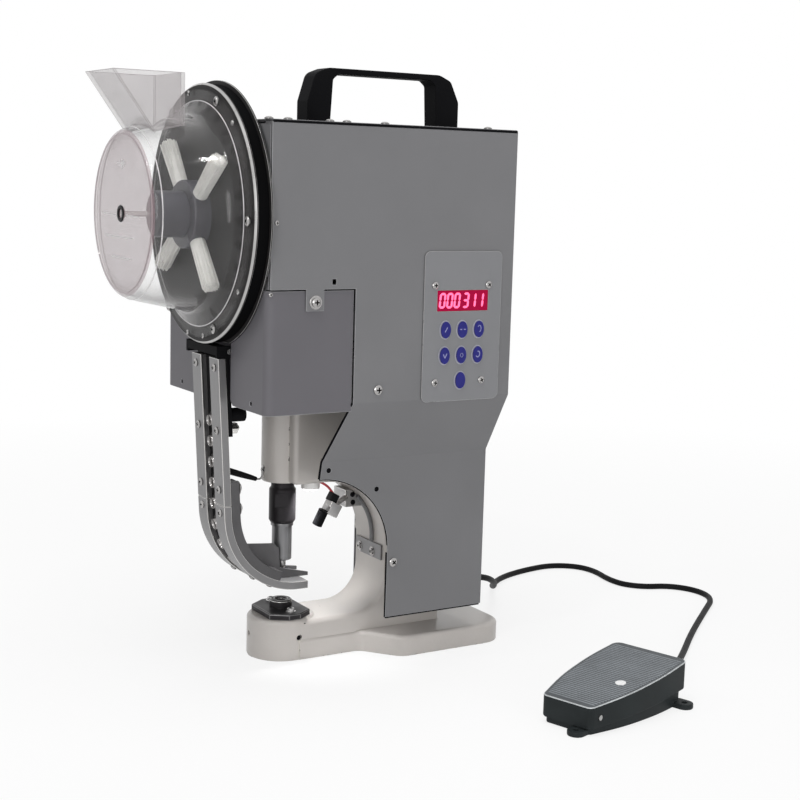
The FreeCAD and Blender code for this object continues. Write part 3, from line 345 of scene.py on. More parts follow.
# tint, haze, then what differs from makeClear's own values
clearLooks = {
    "bowlClear": ((0.97, 0.965, 0.965), (0.26, 0.25, 0.25), dict(face=0.014, edge=0.85, dustAndSheen=0.03, ripple=0.6,
        rippleScale=26, skin=(0.022, 0.4))),
    "bowlFace": ((0.94, 0.90, 0.91), (0.28, 0.185, 0.205), dict(rough=0.16, face=0.52, edge=0.6, dustAndSheen=0.05)),
    "funnelClear": ((0.96, 0.955, 0.96), (0.40, 0.365, 0.37), dict(rough=0.2, face=0.235, edge=0.7, dustAndSheen=0.06,
        skin=(0.01, 0.25))),
    "flangeClear": ((0.97, 0.965, 0.965), (0.26, 0.25, 0.25), dict(face=0.006, edge=0.3, dustAndSheen=0.015,
        skin=(0.006, 0.25))),
    # painted highlight: milky beads along the bowl's rims
    "clearRim": ((0.97, 0.965, 0.965), (0.80, 0.78, 0.79), dict(rough=0.12, face=0.5, edge=0.9, dustAndSheen=0.5,
        skin=(0.05, 0.5))),
}
finishes = {name: makeFinish(name, colour, rough, metal, **more)
            for name, (colour, rough, metal, more) in plainLooks.items()}
finishes.update({name: makeClear(name, tint, haze, **more) for name, (tint, haze, more) in clearLooks.items()})


def makeGlow(name, colour, strength):
    look = bpy.data.materials.new(name)
    look.use_nodes = True
    shader = look.node_tree.nodes["Principled BSDF"]
    for label, value in (("Base Color", (*colour, 1)), ("Roughness", 0.3), ("Specular IOR Level", 0.1),
                         ("Emission Color", (*colour, 1)), ("Emission Strength", strength)):
        shader.inputs[label].default_value = value
    return look


for name, colour, strength in (("digitGlow", (1.0, 0.13, 0.28), 1.2), ("digitHaze", (0.20, 0.0, 0.022), 0.9),
                               ("laserEnd", (0.85, 0.42, 0.45), 0.5), ("ledGlow", (1.0, 0.98, 0.95), 3.0)):
    finishes[name] = makeGlow(name, colour, strength)
print("finishes are made")


# ---- mesh tools: sizes are in millimetres until a piece is finished ----
hardTurn = 32.0  # degrees between two faces that make their edge a hard one


def meshOf(shape, name, sharp=hardTurn, smooth=True):
    # the mesh of a shape in metres, with its hard edges marked
    bmesh.ops.recalc_face_normals(shape, faces=shape.faces)
    for edge in shape.edges:
        if len(edge.link_faces) == 2:
            edge.smooth = edge.calc_face_angle() < math.radians(sharp)
    for face in shape.faces:
        face.smooth = smooth
    bmesh.ops.scale(shape, vec=(milli, milli, milli), verts=shape.verts)
    mesh = bpy.data.meshes.new(name)
    shape.to_mesh(mesh)
    shape.free()
    return mesh


def settle(shape, name, looks, body, standsFor=(), smooth=True):
    bmesh.ops.remove_doubles(shape, verts=shape.verts, dist=0.002)
    mesh = meshOf(shape, name, smooth=smooth)
    wearLooks(mesh, looks)
    return finishPiece(evenNormals(mesh), name, body, standsFor)


def hiddenHead(shape, name, sharp=hardTurn):
    # a shape that Geometry Nodes repeats; it isn't part of the object by itself
    head = addObject(name, meshOf(shape, name, sharp))
    head.hide_render = True
    return head


def wearLooks(mesh, looks):
    for look in (looks if isinstance(looks, (list, tuple)) else [looks]):
        mesh.materials.append(finishes[look])


def evenNormals(mesh):
    # large flat faces keep their own shading and the broken edges carry the turn
    holder = addObject("shading", mesh)
    even = holder.modifiers.new("even", "WEIGHTED_NORMAL")
    even.keep_sharp = True
    even.weight = 90
    made = finalMesh(holder)
    made.name = mesh.name
    bpy.data.objects.remove(holder)
    return made


def finishPiece(mesh, name, body, standsFor=()):
    piece = addObject(name, mesh)
    if body:
        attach(piece, body)
    if standsFor:
        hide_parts(*standsFor)
    return piece


def foldedSpots(shape):
    # corners of the triangles that lie folded back over their own face
    leastSize, leastTurn = 0.3, 0.2
    spots = []
    for loops in shape.calc_loop_triangles():
        a, b, c = (loop.vert.co for loop in loops)
        turned = (b - a).cross(c - a)
        if turned.length > leastSize and turned.dot(loops[0].face.normal) < leastTurn * turned.length:
            spots += [a.copy(), b.copy(), c.copy()]
    return spots


def besideSpot(edge, spots, near):
    # whether the edge passes nearer than that to one of the spots
    a, b = (v.co for v in edge.verts)
    run = b - a
    for spot in spots:
        along = max(0.0, min(1.0, (spot - a).dot(run) / max(run.length * run.length, 1e-9)))
        if (a + run * along - spot).length < near:
            return True
    return False


def bevelEdges(shape, picked, width, steps, look):
    shape.edges.ensure_lookup_table()
    bmesh.ops.bevel(shape, geom=[shape.edges[k] for k in picked], offset=width, segments=steps, profile=0.5,
                    affect="EDGES", clamp_overlap=False, loop_slide=False, material=look)


def softenEdges(shape, width, steps=2, look=0):
    # breaks every edge that turns by more than 28 degrees, but leaves those sharp that have no room for it
    shape.edges.index_update()
    least = math.radians(28.0)
    sharpOnes = [e.index for e in shape.edges if len(e.link_faces) == 2 and e.calc_face_angle() > least]
    if not sharpOnes or not width:
        return
    near = width * 1.3 + 0.05
    for turn in range(5):
        trial = shape.copy()
        bevelEdges(trial, sharpOnes, width, steps, look)
        trial.normal_update()
        spots = foldedSpots(trial)
        trial.free()
        if not spots:
            break
        shape.edges.ensure_lookup_table()
        sharpOnes = [k for k in sharpOnes if not besideSpot(shape.edges[k], spots, near)]
    bevelEdges(shape, sharpOnes, width, steps, look)


bodyOf = {}
for bodyName, members in frame["record"]["behaviour"]["bodies"].items():
    for member in members:
        bodyOf[member] = bodyName


def dress(node, looks, width, flats, regions):
    # a welded copy of a CAD node with its sharp edges broken, standing for the node
    source = cadNodes[node]
    shape = bmesh.new()
    shape.from_mesh(source.data)
    bmesh.ops.transform(shape, matrix=source.matrix_world, verts=shape.verts)
    bmesh.ops.scale(shape, vec=(1000, 1000, 1000), verts=shape.verts)
    bmesh.ops.remove_doubles(shape, verts=shape.verts, dist=0.004)
    if flats:
        bmesh.ops.dissolve_limit(shape, angle_limit=math.radians(0.6), verts=shape.verts, edges=shape.edges)
    for face in shape.faces:
        face.material_index = 0
    low = [min(v.co[k] for v in shape.verts) for k in range(3)]
    high = [max(v.co[k] for v in shape.verts) for k in range(3)]
    softenEdges(shape, width, look=1 if len(looks) > 1 else 0)
    for v in shape.verts:
        v.co = [min(high[k], max(low[k], v.co[k])) for k in range(3)]
    for face in shape.faces:
        for test, index in regions:
            if test(face):
                face.material_index = index
    return settle(shape, node + "Skin", looks, bodyOf[node], standsFor=(node,))


def ringPoints(radius, steps):
    turns = [2 * math.pi * k / steps for k in range(steps)]
    return [(radius * math.cos(a), radius * math.sin(a)) for a in turns]


def latheInto(shape, profile, start, aim, steps):
    # profile is (distance along aim, radius); closed at both ends when the radius is 0
    aim = Vector(aim).normalized()
    turn = Vector((0, 0, 1)).rotation_difference(aim).to_matrix()
    start = Vector(start)
    rows = []
    for along, radius in profile:
        if radius < 1e-6:
            rows.append([shape.verts.new(start + aim * along)])
        else:
            ring = [turn @ Vector((x, y, 0)) for x, y in ringPoints(radius, steps)]
            rows.append([shape.verts.new(start + aim * along + spot) for spot in ring])
    for low, high in zip(rows[:-1], rows[1:]):
        for k in range(steps):
            a, b = low[k % len(low)], low[(k + 1) % len(low)]
            c, e = high[(k + 1) % len(high)], high[k % len(high)]
            corners = []
            for v in (a, b, c, e):
                if v not in corners:
                    corners.append(v)
            if len(corners) > 2:
                shape.faces.new(corners)


def prismInto(shape, outline, low, high, axes="xy"):
    # a flat outline pushed along the third axis
    third = [k for k in "xyz" if k not in axes][0]
    order = axes + third

    def corner(p, level):
        spot = dict(zip(order, (p[0], p[1], level)))
        return (spot["x"], spot["y"], spot["z"])

    bottom = [shape.verts.new(corner(p, low)) for p in outline]
    top = [shape.verts.new(corner(p, high)) for p in outline]
    shape.faces.new(bottom)
    shape.faces.new(list(reversed(top)))
    for k in range(len(outline)):
        n = (k + 1) % len(outline)
        shape.faces.new((bottom[k], top[k], top[n], bottom[n]))
    return bottom + top


def boxInto(shape, low, high, turn=None, about=(0, 0, 0)):
    outline = [(low[0], low[1]), (high[0], low[1]), (high[0], high[1]), (low[0], high[1])]
    corners = prismInto(shape, outline, low[2], high[2])
    if turn is not None:
        bmesh.ops.rotate(shape, cent=about, matrix=turn, verts=corners)


def tubeInto(shape, path, radius, sides):
    points = [Vector(p) for p in path]
    rows = []
    normal = None
    for k, here in enumerate(points):
        ahead = (points[min(k + 1, len(points) - 1)] - points[max(k - 1, 0)]).normalized()
        if normal is None:
            normal = ahead.orthogonal().normalized()
        else:
            normal = (normal - ahead * normal.dot(ahead)).normalized()
        other = ahead.cross(normal)
        size = radius[k] if isinstance(radius, (list, tuple)) else radius
        rows.append([shape.verts.new(here + normal * x + other * y) for x, y in ringPoints(size, sides)])
    for low, high in zip(rows[:-1], rows[1:]):
        for k in range(sides):
            shape.faces.new((low[k], low[(k + 1) % sides], high[(k + 1) % sides], high[k]))
    shape.faces.new(list(reversed(rows[0])))
    shape.faces.new(rows[-1])


def curvedPath(points):
    # straight runs joined by arcs that touch both; no three points may lie in one line
    share, steps = 0.45, 7
    spots = [Vector(p) for p in points]
    made = [spots[0]]
    for before, here, after in zip(spots[:-2], spots[1:-1], spots[2:]):
        reachIn = share * min((here - before).length, (after - here).length)
        enter = here + (before - here).normalized() * reachIn
        leave = here + (after - here).normalized() * reachIn
        come, go = (here - before).normalized(), (after - here).normalized()
        half = come.angle(go) / 2
        radius = reachIn / math.tan(half)
        centre = here + (go - come).normalized() * (radius / math.cos(half))
        axis = (enter - centre).cross(leave - centre).normalized()
        for n in range(steps + 1):
            made.append(centre + Matrix.Rotation(2 * half * n / steps, 3, axis) @ (enter - centre))
    made.append(spots[-1])
    return made


# ---- Geometry Nodes: a head set on every point, and a piece repeated along a path ----
def newTree(name, inputs):
    tree = bpy.data.node_groups.new(name, "GeometryNodeTree")
    tree.interface.new_socket("Geometry", in_out="INPUT", socket_type="NodeSocketGeometry")
    names = {}
    for label, kind, value in inputs:
        spot = tree.interface.new_socket(label, in_out="INPUT", socket_type=kind)
        if value is not None:
            spot.default_value = value
        names[label] = spot.identifier
    tree.interface.new_socket("Geometry", in_out="OUTPUT", socket_type="NodeSocketGeometry")
    graph = Graph(tree)
    start = graph.add("NodeGroupInput")
    return tree, graph, start, names


def endTree(graph, start, spread):
    real = graph.add("GeometryNodeRealizeInstances", Geometry=spread.outputs[0])
    painted = graph.add("GeometryNodeSetMaterial", Geometry=real.outputs[0], Material=outputOf(start, "Finish"))
    graph.add("NodeGroupOutput", Geometry=painted.outputs[0])


pointValues = (("aim", "FLOAT_VECTOR"), ("size", "FLOAT"), ("twist", "FLOAT"), ("wide", "FLOAT"))


def pointTree():
    tree, graph, start, names = newTree("headOnPoints", [
        ("Head", "NodeSocketObject", None), ("Head Scale", "NodeSocketFloat", 1.0),
        ("Finish", "NodeSocketMaterial", None)])
    aim, size, twist, wide = (
        outputOf(graph.add("GeometryNodeInputNamedAttribute", {"data_type": kind}, Name=label), "Attribute")
        for label, kind in pointValues)
    turned = graph.add("FunctionNodeAlignRotationToVector", {"axis": "Z"}, Vector=aim)
    spin = graph.add("FunctionNodeAxisAngleToRotation", Axis=(0, 0, 1), Angle=twist)
    both = graph.add("FunctionNodeRotateRotation", {"rotation_space": "LOCAL"}, Rotation=turned.outputs[0],
                     Rotate_By=spin.outputs[0])
    scale = graph.maths("MULTIPLY", size, outputOf(start, "Head Scale"))
    sizes = graph.add("ShaderNodeCombineXYZ", i0=graph.maths("MULTIPLY", scale, wide), i1=scale, i2=scale)
    head = graph.add("GeometryNodeObjectInfo", Object=outputOf(start, "Head"))
    endTree(graph, start, graph.add(
        "GeometryNodeInstanceOnPoints", Points=outputOf(start, "Geometry"), Instance=outputOf(head, "Geometry"),
        Rotation=both.outputs[0], Scale=sizes.outputs[0]))
    return tree, names


def pathTree():
    tree, graph, start, names = newTree("pieceAlongPath", [
        ("Piece", "NodeSocketObject", None), ("Pitch", "NodeSocketFloat", 0.02),
        ("Across", "NodeSocketVector", (1, 0, 0)), ("Finish", "NodeSocketMaterial", None)])
    curve = graph.add("GeometryNodeMeshToCurve", Mesh=outputOf(start, "Geometry"))
    even = graph.add("GeometryNodeResampleCurve", {"mode": "LENGTH"}, Curve=curve.outputs[0],
                     Length=outputOf(start, "Pitch"))
    along = graph.add("GeometryNodeInputTangent")
    outward = graph.add("ShaderNodeVectorMath", {"operation": "CROSS_PRODUCT"}, i0=along.outputs[0],
                        i1=outputOf(start, "Across"))
    turned = graph.add("FunctionNodeAlignRotationToVector", {"axis": "Z"}, Vector=outward.outputs[0])
    piece = graph.add("GeometryNodeObjectInfo", Object=outputOf(start, "Piece"))
    endTree(graph, start, graph.add(
        "GeometryNodeInstanceOnPoints", Points=even.outputs[0], Instance=outputOf(piece, "Geometry"),
        Rotation=turned.outputs[0]))
    return tree, names


trees = {"points": pointTree(), "path": pathTree()}


def growPiece(name, seedMesh, kind, values, look, body):
    tree, names = trees[kind]
    seed = addObject(name + "Seed", seedMesh)
    maker = seed.modifiers.new("maker", "NODES")
    maker.node_group = tree
    for label, value in {**values, "Finish": finishes[look]}.items():
        maker[names[label]] = value
    mesh = finalMesh(seed)
    mesh.name = name
    bpy.data.objects.remove(seed)
    return finishPiece(mesh, name, body)


def headOnPoints(name, spots, head, look, body):
    # spots are (place, aim, size, twist, stretch across) in millimetres
    mesh = bpy.data.meshes.new(name + "Spots")
    mesh.from_pydata([tuple(c * milli for c in s[0]) for s in spots], [], [])
    for label, kind in pointValues:
        mesh.attributes.new(label, kind, "POINT")
    for k, spot in enumerate(spots):
        mesh.attributes["aim"].data[k].vector = spot[1]
        mesh.attributes["size"].data[k].value = spot[2]
        mesh.attributes["twist"].data[k].value = spot[3] if len(spot) > 3 else 0.7 * k
        mesh.attributes["wide"].data[k].value = spot[4] if len(spot) > 4 else 1.0
    return growPiece(name, mesh, "points", {"Head": head, "Head Scale": 1.0}, look, body)


def crossHead(name, washer):
    # a pan head of radius 1 with a cross recess, on a washer where it has one
    shape = bmesh.new()
    lines = [-1.0, -0.82, -0.56, -0.15, 0.15, 0.56, 0.82, 1.0]
    lift = 0.24 if washer else 0.0
    grid = []
    for v in lines:
        row = []
        for u in lines:
            far = max(abs(u), abs(v))
            length = math.hypot(u, v)
            blend = max(0.0, (far - 0.3) / 0.7)
            scale = 1.0 if length == 0 else (1 - blend) + blend * far / length
            x, y = u * scale, v * scale
            height = 0.56 - 0.34 * min(1.0, x * x + y * y) ** 1.6
            row.append(shape.verts.new((x, y, height + lift)))
        grid.append(row)
    recess = []
    for j in range(7):
        for k in range(7):
            face = shape.faces.new((grid[j][k], grid[j][k + 1], grid[j + 1][k + 1], grid[j + 1][k]))
            u, v = (lines[k] + lines[k + 1]) / 2, (lines[j] + lines[j + 1]) / 2
            if (abs(u) < 0.15 and abs(v) < 0.56) or (abs(v) < 0.15 and abs(u) < 0.56):
                recess.append(face)
    sunk = bmesh.ops.extrude_face_region(shape, geom=recess)
    bmesh.ops.translate(shape, vec=(0, 0, -0.34), verts=[g for g in sunk["geom"] if isinstance(g, bmesh.types.BMVert)])
    bmesh.ops.delete(shape, geom=recess, context="FACES_ONLY")
    rim = [e for e in shape.edges if e.is_boundary]
    skirt = bmesh.ops.extrude_edge_only(shape, edges=rim)
    for v in [g for g in skirt["geom"] if isinstance(g, bmesh.types.BMVert)]:
        v.co.z = lift - 0.02
    if washer:
        latheInto(shape, [(0.0, 0.3), (0.0, 1.5), (0.16, 1.5), (0.22, 1.42), (0.22, 0.3)], (0, 0, 0), (0, 0, 1), 24)
    markRecessShade(shape, lambda x, y, z: min(abs(x), abs(y)) < 0.16 and max(abs(x), abs(y)) < 0.57,
               lambda x, y, z: 0.9 < math.hypot(x, y) < 1.05 and z < lift + 0.2)
    return hiddenHead(shape, name)


# painted shade: 1 on faces deep in a recess and 0.6 on the ring at the head's foot, for the finish to darken
def markRecessShade(shape, deep, side):
    layer = shape.faces.layers.float.new("recess")
    for face in shape.faces:
        x, y, z = face.calc_center_median()
        face[layer] = 1.0 if deep(x, y, z) else 0.6 if side(x, y, z) else 0.0


def socketHead(name):
    # a cap screw of radius 1 with a socket, on a washer
    shape = bmesh.new()
    cap = [(0, 1.0), (0.84, 1.0), (0.96, 0.88), (0.96, 0.56), (0.45, 0.52), (0.4, 0)]
    for profile in (cap, [(0, 0.5), (0, 1.35), (0.16, 1.35), (0.2, 1.28), (0.2, 0.5)]):
        latheInto(shape, profile, (0, 0, 0), (0, 0, 1), 24)
    markRecessShade(shape, lambda x, y, z: math.hypot(x, y) < 0.55, lambda x, y, z: False)
    return hiddenHead(shape, name)


heads = {"panScrew": crossHead("panScrew", False), "washerScrew": crossHead("washerScrew", True),
         "capScrew": socketHead("capScrew")}
print("tools are ready")


# ---- the pedal's lead: free points of its run, which the spline smooths ----
lead = {
    "points": [
        (10, 196.25, 56), (10, 234, 51), (-16, 267, 35), (-53, 293, 17), (-92, 317, 5.2), (-121, 351, 3.6),
        (-136, 396, 3.6), (-141, 443, 3.6), (-110, 474, 3.6), (-45, 458, 3.6), (-15.6, 475, 3.6), (-4.4, 509, 3.6),
        (25.6, 525, 3.6),
        (58.6, 517, 3.6), (89.4, 477.6, 3.6), (148, 404, 3.6), (194, 352, 3.6), (228, 313, 8), (249.7, 287.6, 14.8),
        (259.66, 255.16, 16)],
    "radius": 3.25, "length": 0.884, "exit": (0.010, 0.196, 0.056)}


def leadCurve(name, thick):
    data = bpy.data.curves.new(name, "CURVE")
    data.dimensions = "3D"
    data.resolution_u = 16
    data.bevel_depth = thick * milli
    data.bevel_resolution = 5
    data.use_fill_caps = True
    line = data.splines.new("NURBS")
    line.points.add(len(lead["points"]) - 1)
    for k, spot in enumerate(lead["points"]):
        line.points[k].co = (*[c * milli for c in spot], 1.0)
    line.order_u = 3
    line.use_endpoint_u = True
    return addObject(name, data)


pedalLead = leadCurve("pedalLead", lead["radius"])
pedalLead.data.materials.append(finishes["cordBlack"])
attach(pedalLead, "machine")
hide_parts("switch_cord")

guide = leadCurve("leadGuide", 0)
leadLine = [v.co * 1000 for v in finalMesh(guide).vertices]
bpy.data.objects.remove(guide)
print("lead is laid:", len(leadLine), "points")


def alongLine(line, start, length, count):
    # evenly spaced points of a line, from a distance along it
    lengths = [0.0]
    for a, b in zip(line[:-1], line[1:]):
        lengths.append(lengths[-1] + (b - a).length)
    made = []
    for n in range(count):
        want = start + length * n / (count - 1)
        k = max(i for i in range(len(line) - 1) if lengths[i] <= want + 1e-6)
        share = (want - lengths[k]) / max(1e-6, lengths[k + 1] - lengths[k])
        made.append(line[k].lerp(line[k + 1], share))
    return made


# ---- casting, housing and other CAD pieces with their edges broken ----
dressed = {
    "c_frame_casting": (["castingPaint", "castingEdge"], 0.9),
    "side_cover_right": (["housingPaint", "housingEdge"], 0.3),
    "side_cover_left": (["housingPaint", "housingEdge"], 0.3),
    "rear_panel": (["housingPaint", "housingEdge"], 0.3),
    "front_panel": (["housingPaint", "housingEdge"], 0.3),
    "top_lid": (["housingPaint", "lidEdge"], 0.35),
    "head_cover": (["coverPaint", "housingEdge"], 0.35),
    "carry_handle": (["blackSatin"], 0.9),
    "hopper_back_plate": (["darkPlate", "plateEdge"], 0.35),
    "hopper_ring": (["ringBlack"], 0.7),
    "hopper_face_plate": (["darkPlate", "plateEdge"], 0.2),
    "hopper_funnel": (["funnelClear", "clearEdge"], 0.3),
    "hopper_bowl": (["bowlClear", "bowlFace", "flangeClear"], 0.0),
    "brush_hub": (["hubPlastic", "brightSteel"], 0.0),
    "outlet_block": (["blackSatin"], 0.6),
    "chute_rails_upper": (["aluminium", "brightSteel"], 0.45),
    "chute_rails_lower": (["aluminium", "brightSteel"], 0.45),
    "chute_floor": (["slotDark"], 0.15),
    "chute_hanger": (["blackSatin"], 0.4),
    "chute_joint_bracket": (["bandGrey"], 0.35),
    "chute_pivot_pin": (["steel"], 0.3),
    "gate_fingers": (["bandGrey"], 0.2),
    "ram_shaft": (["steel"], 0.4),
    "punch_holder": (["gunmetal"], 0.5),
    "punch": (["groundSteel"], 0.4),
    "pilot_pin": (["steel"], 0.2),
    "die_plate": (["gunmetal", "darkEdge"], 0.5),
    "die": (["gunmetal", "steel"], 0.4),
    "lamp_bracket": (["castAluminium", "brightSteel"], 0.6),
    "laser_pointer": (["blackSatin", "laserEnd"], 0.0),
    "throat_lamp": (["lampWhite"], 0.4),
    "control_plate": (["panelGrey", "plateEdge"], 0.3),
    "display_window": (["digitHaze"], 0.25),
    "power_inlet": (["blackPlastic"], 0.6),
    "cable_gland": (["blackPlastic"], 0.5),
    "switch_rocker": (["blackPlastic"], 0.5),
    "pedal_base": (["pedalDark"], 1.0),
    "pedal_plate": (["pedalDark", "pedalRim", "treadBase"], 0.8),
    "pedal_pin": (["steel"], 0.3),
}
for n in range(1, 8):
    dressed["key_%d" % n] = (["keyBlue"], 0.3)
tread = {"at": (299.8, 124.8), "heading": 1.87, "tilt": math.radians(6.5), "top": 25.5}
ahead = Vector((math.cos(tread["heading"]), math.sin(tread["heading"]), 0))
aside = Vector((-math.sin(tread["heading"]), math.cos(tread["heading"]), 0))


def onTread(u, v):
    # a place on the tread's top, u along the pedal from its toe and v across it
    height = tread["top"] + math.tan(tread["tilt"]) * u
    return Vector((*tread["at"], height)) + ahead * u + aside * v


def belowTread(place):
    u = (place - Vector((*tread["at"], 0))).dot(ahead)
    return tread["top"] + math.tan(tread["tilt"]) * u - place.z


hopperHeight = 427


def fromAxis(face):
    # how far a face's middle is from the hopper's axis
    middle = face.calc_center_median()
    return math.hypot(middle.x, middle.z - hopperHeight)


def depthOf(face):
    return face.calc_center_median().y


def underTread(face):
    return belowTread(face.calc_center_median())


laserAim = (Vector((0, 0, 46)) - Vector((20, 31.5, 136))).normalized()
# which faces of a piece wear another of its looks
regions = {
    "hopper_bowl": [(lambda f: depthOf(f) < -162.5 and fromAxis(f) < 74, 1), (lambda f: depthOf(f) > -95.5, 2)],
    "brush_hub": [(lambda f: depthOf(f) < -134.3, 1)],
    "hopper_face_plate": [(lambda f: depthOf(f) < -88.2 and fromAxis(f) > 116, 1)],
    # painted shade: the lid's side faces are darkened for the gap under it
    "top_lid": [(lambda f: abs(f.normal.z) < 0.5, 1)],
    "laser_pointer": [(lambda f: f.normal.dot(laserAim) > 0.9, 1)],
    # painted shade on the tread's sides, more than 1.6 below its top; the broken edges left at its top wear a painted
    # highlight
    "pedal_plate": [(lambda f: underTread(f) > 1.6, 0), (lambda f: f.normal.z > 0.97 and underTread(f) < 0.4, 2)],
}
asTriangles = ("carry_handle", "pilot_pin")
mostArea, mostShift = 0.02, 5e-4  # share of the node's area, and metres


def warnIfStrayed(node, skin):
    # a skin that changed its node's area or box more than that is named in the log
    areaCad, areaNew = (sum(p.area for p in mesh.polygons) * 1e6 for mesh in (cadNodes[node].data, skin.data))
    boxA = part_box(node)
    co = [v.co for v in skin.data.vertices]
    boxB = [Vector([f(c[k] for c in co) for k in range(3)]) for f in (min, max)]
    shifts = [b - a for a, b in zip(boxA, boxB)]
    if abs(areaNew / areaCad - 1) > mostArea or max(shift.length for shift in shifts) > mostShift:
        print("CHECK", node, round(areaCad), round(areaNew), *[[round(v * 1000, 1) for v in shift] for shift in shifts],
              len(co))


for node, (looks, width) in dressed.items():
    warnIfStrayed(node, dress(node, looks, width, node not in asTriangles, regions.get(node, ())))
print("CAD pieces have their skins")


# ---- screws: one shape of head set on many places ----
chute = {"top": (-83.2, 297), "slope": 0.0547, "bend": (5.0, 150.0), "radius": 80.0}


def chuteFace(height):
    # front face of the chute's straight rails
    return chute["top"][0] + (chute["top"][1] - height) * chute["slope"]


def onBend(angle, x=0, depth=0.0):
    # a place on the face of the bent rails, or that deep behind it
    size = chute["radius"] - depth
    return (x, chute["bend"][0] - size * math.sin(angle), chute["bend"][1] - size * math.cos(angle))


right, left, front, rear, up, down = (1, 0, 0), (-1, 0, 0), (0, -1, 0), (0, 1, 0), (0, 0, 1), (0, 0, -1)
chuteOut = (0, -0.9985, -0.0546)
bandIn = (0, 0.9985, 0.0546)


def onHopper(radius, degrees):
    a = math.radians(degrees)
    return (radius * math.cos(a), -92.7, hopperHeight + radius * math.sin(a))


screws = {
    "coverScrews": ("panScrew", "screwSteel", "machine", [
        ((112, 38.5, 273.6), right, 4.6), ((78, 80.3, 99.8), right, 4.4), ((112, -66.6, 423.9), right, 2.2),
        ((110, -70.5, 362), right, 2.0),
        ((-112, 38.5, 273.6), left, 4.6), ((-78, 150, 99.8), left, 4.4), ((-112, -66.6, 423.9), left, 2.2)]
        + [((side * 104, y, 512.1), up, 3.9) for side in (1, -1) for y in (-71.8, -53.6, -12.5, 4.5, 43.4, 154.9)]
        + [((side * 96, 184.1, z), rear, 3.4) for side in (1, -1) for z in (275, 372, 488)]),
    "tabScrew": ("washerScrew", "screwSteel", "machine", [((112.1, -27.5, 354.7), right, 4.2)]),
    "hopperScrews": ("panScrew", "screwSteel", "machine", [
        (onHopper(109, a), front, 4.4) for a in (67, -1, -68, -125, 175, 122)]),
    "hopperDowels": ("panScrew", "steel", "machine", [
        (onHopper(111, a), front, 2.4) for a in (-99, -81, -35, 47, 100)]),
    "railScrews": ("panScrew", "screwSteel", "chute", [
        ((side * 20.5, chuteFace(z), z), chuteOut, 3.7) for side in (1, -1) for z in (288, 229, 173)]
        + [((side * 20.5, -74.9, 150.6), (0, -1, -0.02), 3.7) for side in (1, -1)]
        + [(onBend(a, side * 20.5), (0, -math.sin(a), -math.cos(a)), 3.2) for side in (1, -1) for a in (0.62, 0.36)]),
    "joinerScrews": ("washerScrew", "screwSteel", "chute", [
        ((25, -59.9, 174.5), bandIn, 4.4), ((25, -58.9, 155.2), bandIn, 4.4)]),
    "panelScrews": ("panScrew", "screwSteel", "machine", [
        ((113.5, y, z), right, 3.5) for y, z in ((96, 368), (155.5, 368), (98.5, 277.5), (150.5, 278))]),
    "dieScrews": ("capScrew", "dieSteel", "machine", [((-21.5, 0, 46.1), up, 3.7), ((21.5, 0, 46.1), up, 3.7)]),
    "cableScrews": ("washerScrew", "screwSteel", "machine", [
        ((-16.5, 97.9, 93), front, 3.3), ((8, 97.9, 92.5), front, 3.3)]),
    "clampScrews": ("panScrew", "blackSatin", "machine", [((4, 76, 152), right, 2.6), ((4, 76.5, 144), right, 2.6)]),
    "springScrew": ("panScrew", "steel", "machine", [((0, -20.9, 184.5), front, 3.4)]),
}
for name, (head, look, body, spots) in screws.items():
    headOnPoints(name, spots, heads[head], look, body)

# painted shade: dark discs set just inside the foot's and the covers' holes, where the inside lies in shade
holeShade = bmesh.new()
for place, aim, radius in (((30.6, 4, 22), right, 2.45), ((-3, -30.6, 22), front, 2.45), ((76.7, 8, 195), right, 2.48),
                           ((76.7, 60, 173), right, 2.48), ((-74.5, -72.7, 262.5), front, 2.18),
                           ((80, -72.7, 262.5), front, 2.18)):
    latheInto(holeShade, [(0, 0), (0, radius), (0.5, radius), (0.5, 0)], place, aim, 20)
settle(holeShade, "coverPlugs", "seamDark", "machine")

# painted shade: dark strips and tubes along the cover's front edge, its foot, its arc round the throat and under the
# lid, where the shadow gaps fall
gapShade = bmesh.new()
throatEdge = [(110.6, 12.3, 262.4), (109.9, 12.0, 260.6), (77.0, 0.3, 203.4), (76.8, -0.9, 195), (76.8, -1.9, 187.3)]
tubeInto(gapShade, throatEdge, 1.0, 8)
boxInto(gapShade, (76.6, 73.4, 44.8), (77.9, 182.2, 46.1))
boxInto(gapShade, (76.6, 72.2, 46.0), (77.7, 73.2, 110))
bossArc = {"height": 113, "radius": 73.6, "turns": [math.radians(3 + 88 * k / 30) for k in range(31)]}
tubeInto(gapShade, [(77.0, bossArc["radius"] * math.cos(a), bossArc["height"] + bossArc["radius"] * math.sin(a))
                   for a in bossArc["turns"]], 0.6, 6)
underLid = (509.3, 511.3)
for side in (1, -1):
    boxInto(gapShade, (side * 112.0 - 0.16, -71.5, underLid[0]), (side * 112.0 + 0.16, 183.5, underLid[1]))
boxInto(gapShade, (-111, 183.9, underLid[0]), (111, 184.3, underLid[1]))
settle(gapShade, "coverGap", "seamDark", "machine")
print("screws are set")


# ---- hopper: brushes, hub collars, marks on the bowl ----
brush = {"count": 4, "turn": 38.0, "plane": -99.4, "from": 30.5, "radius": 7.3, "strands": 90, "thick": 0.62,
         "splay": 0.022, "seed": 11}
golden = 2.39996  # radians between a strand and the next, so that they fill the round evenly


def brushAxis(k):
    angle = math.radians(brush["turn"] + 90 * k)
    return Vector((math.cos(angle), 0, math.sin(angle)))


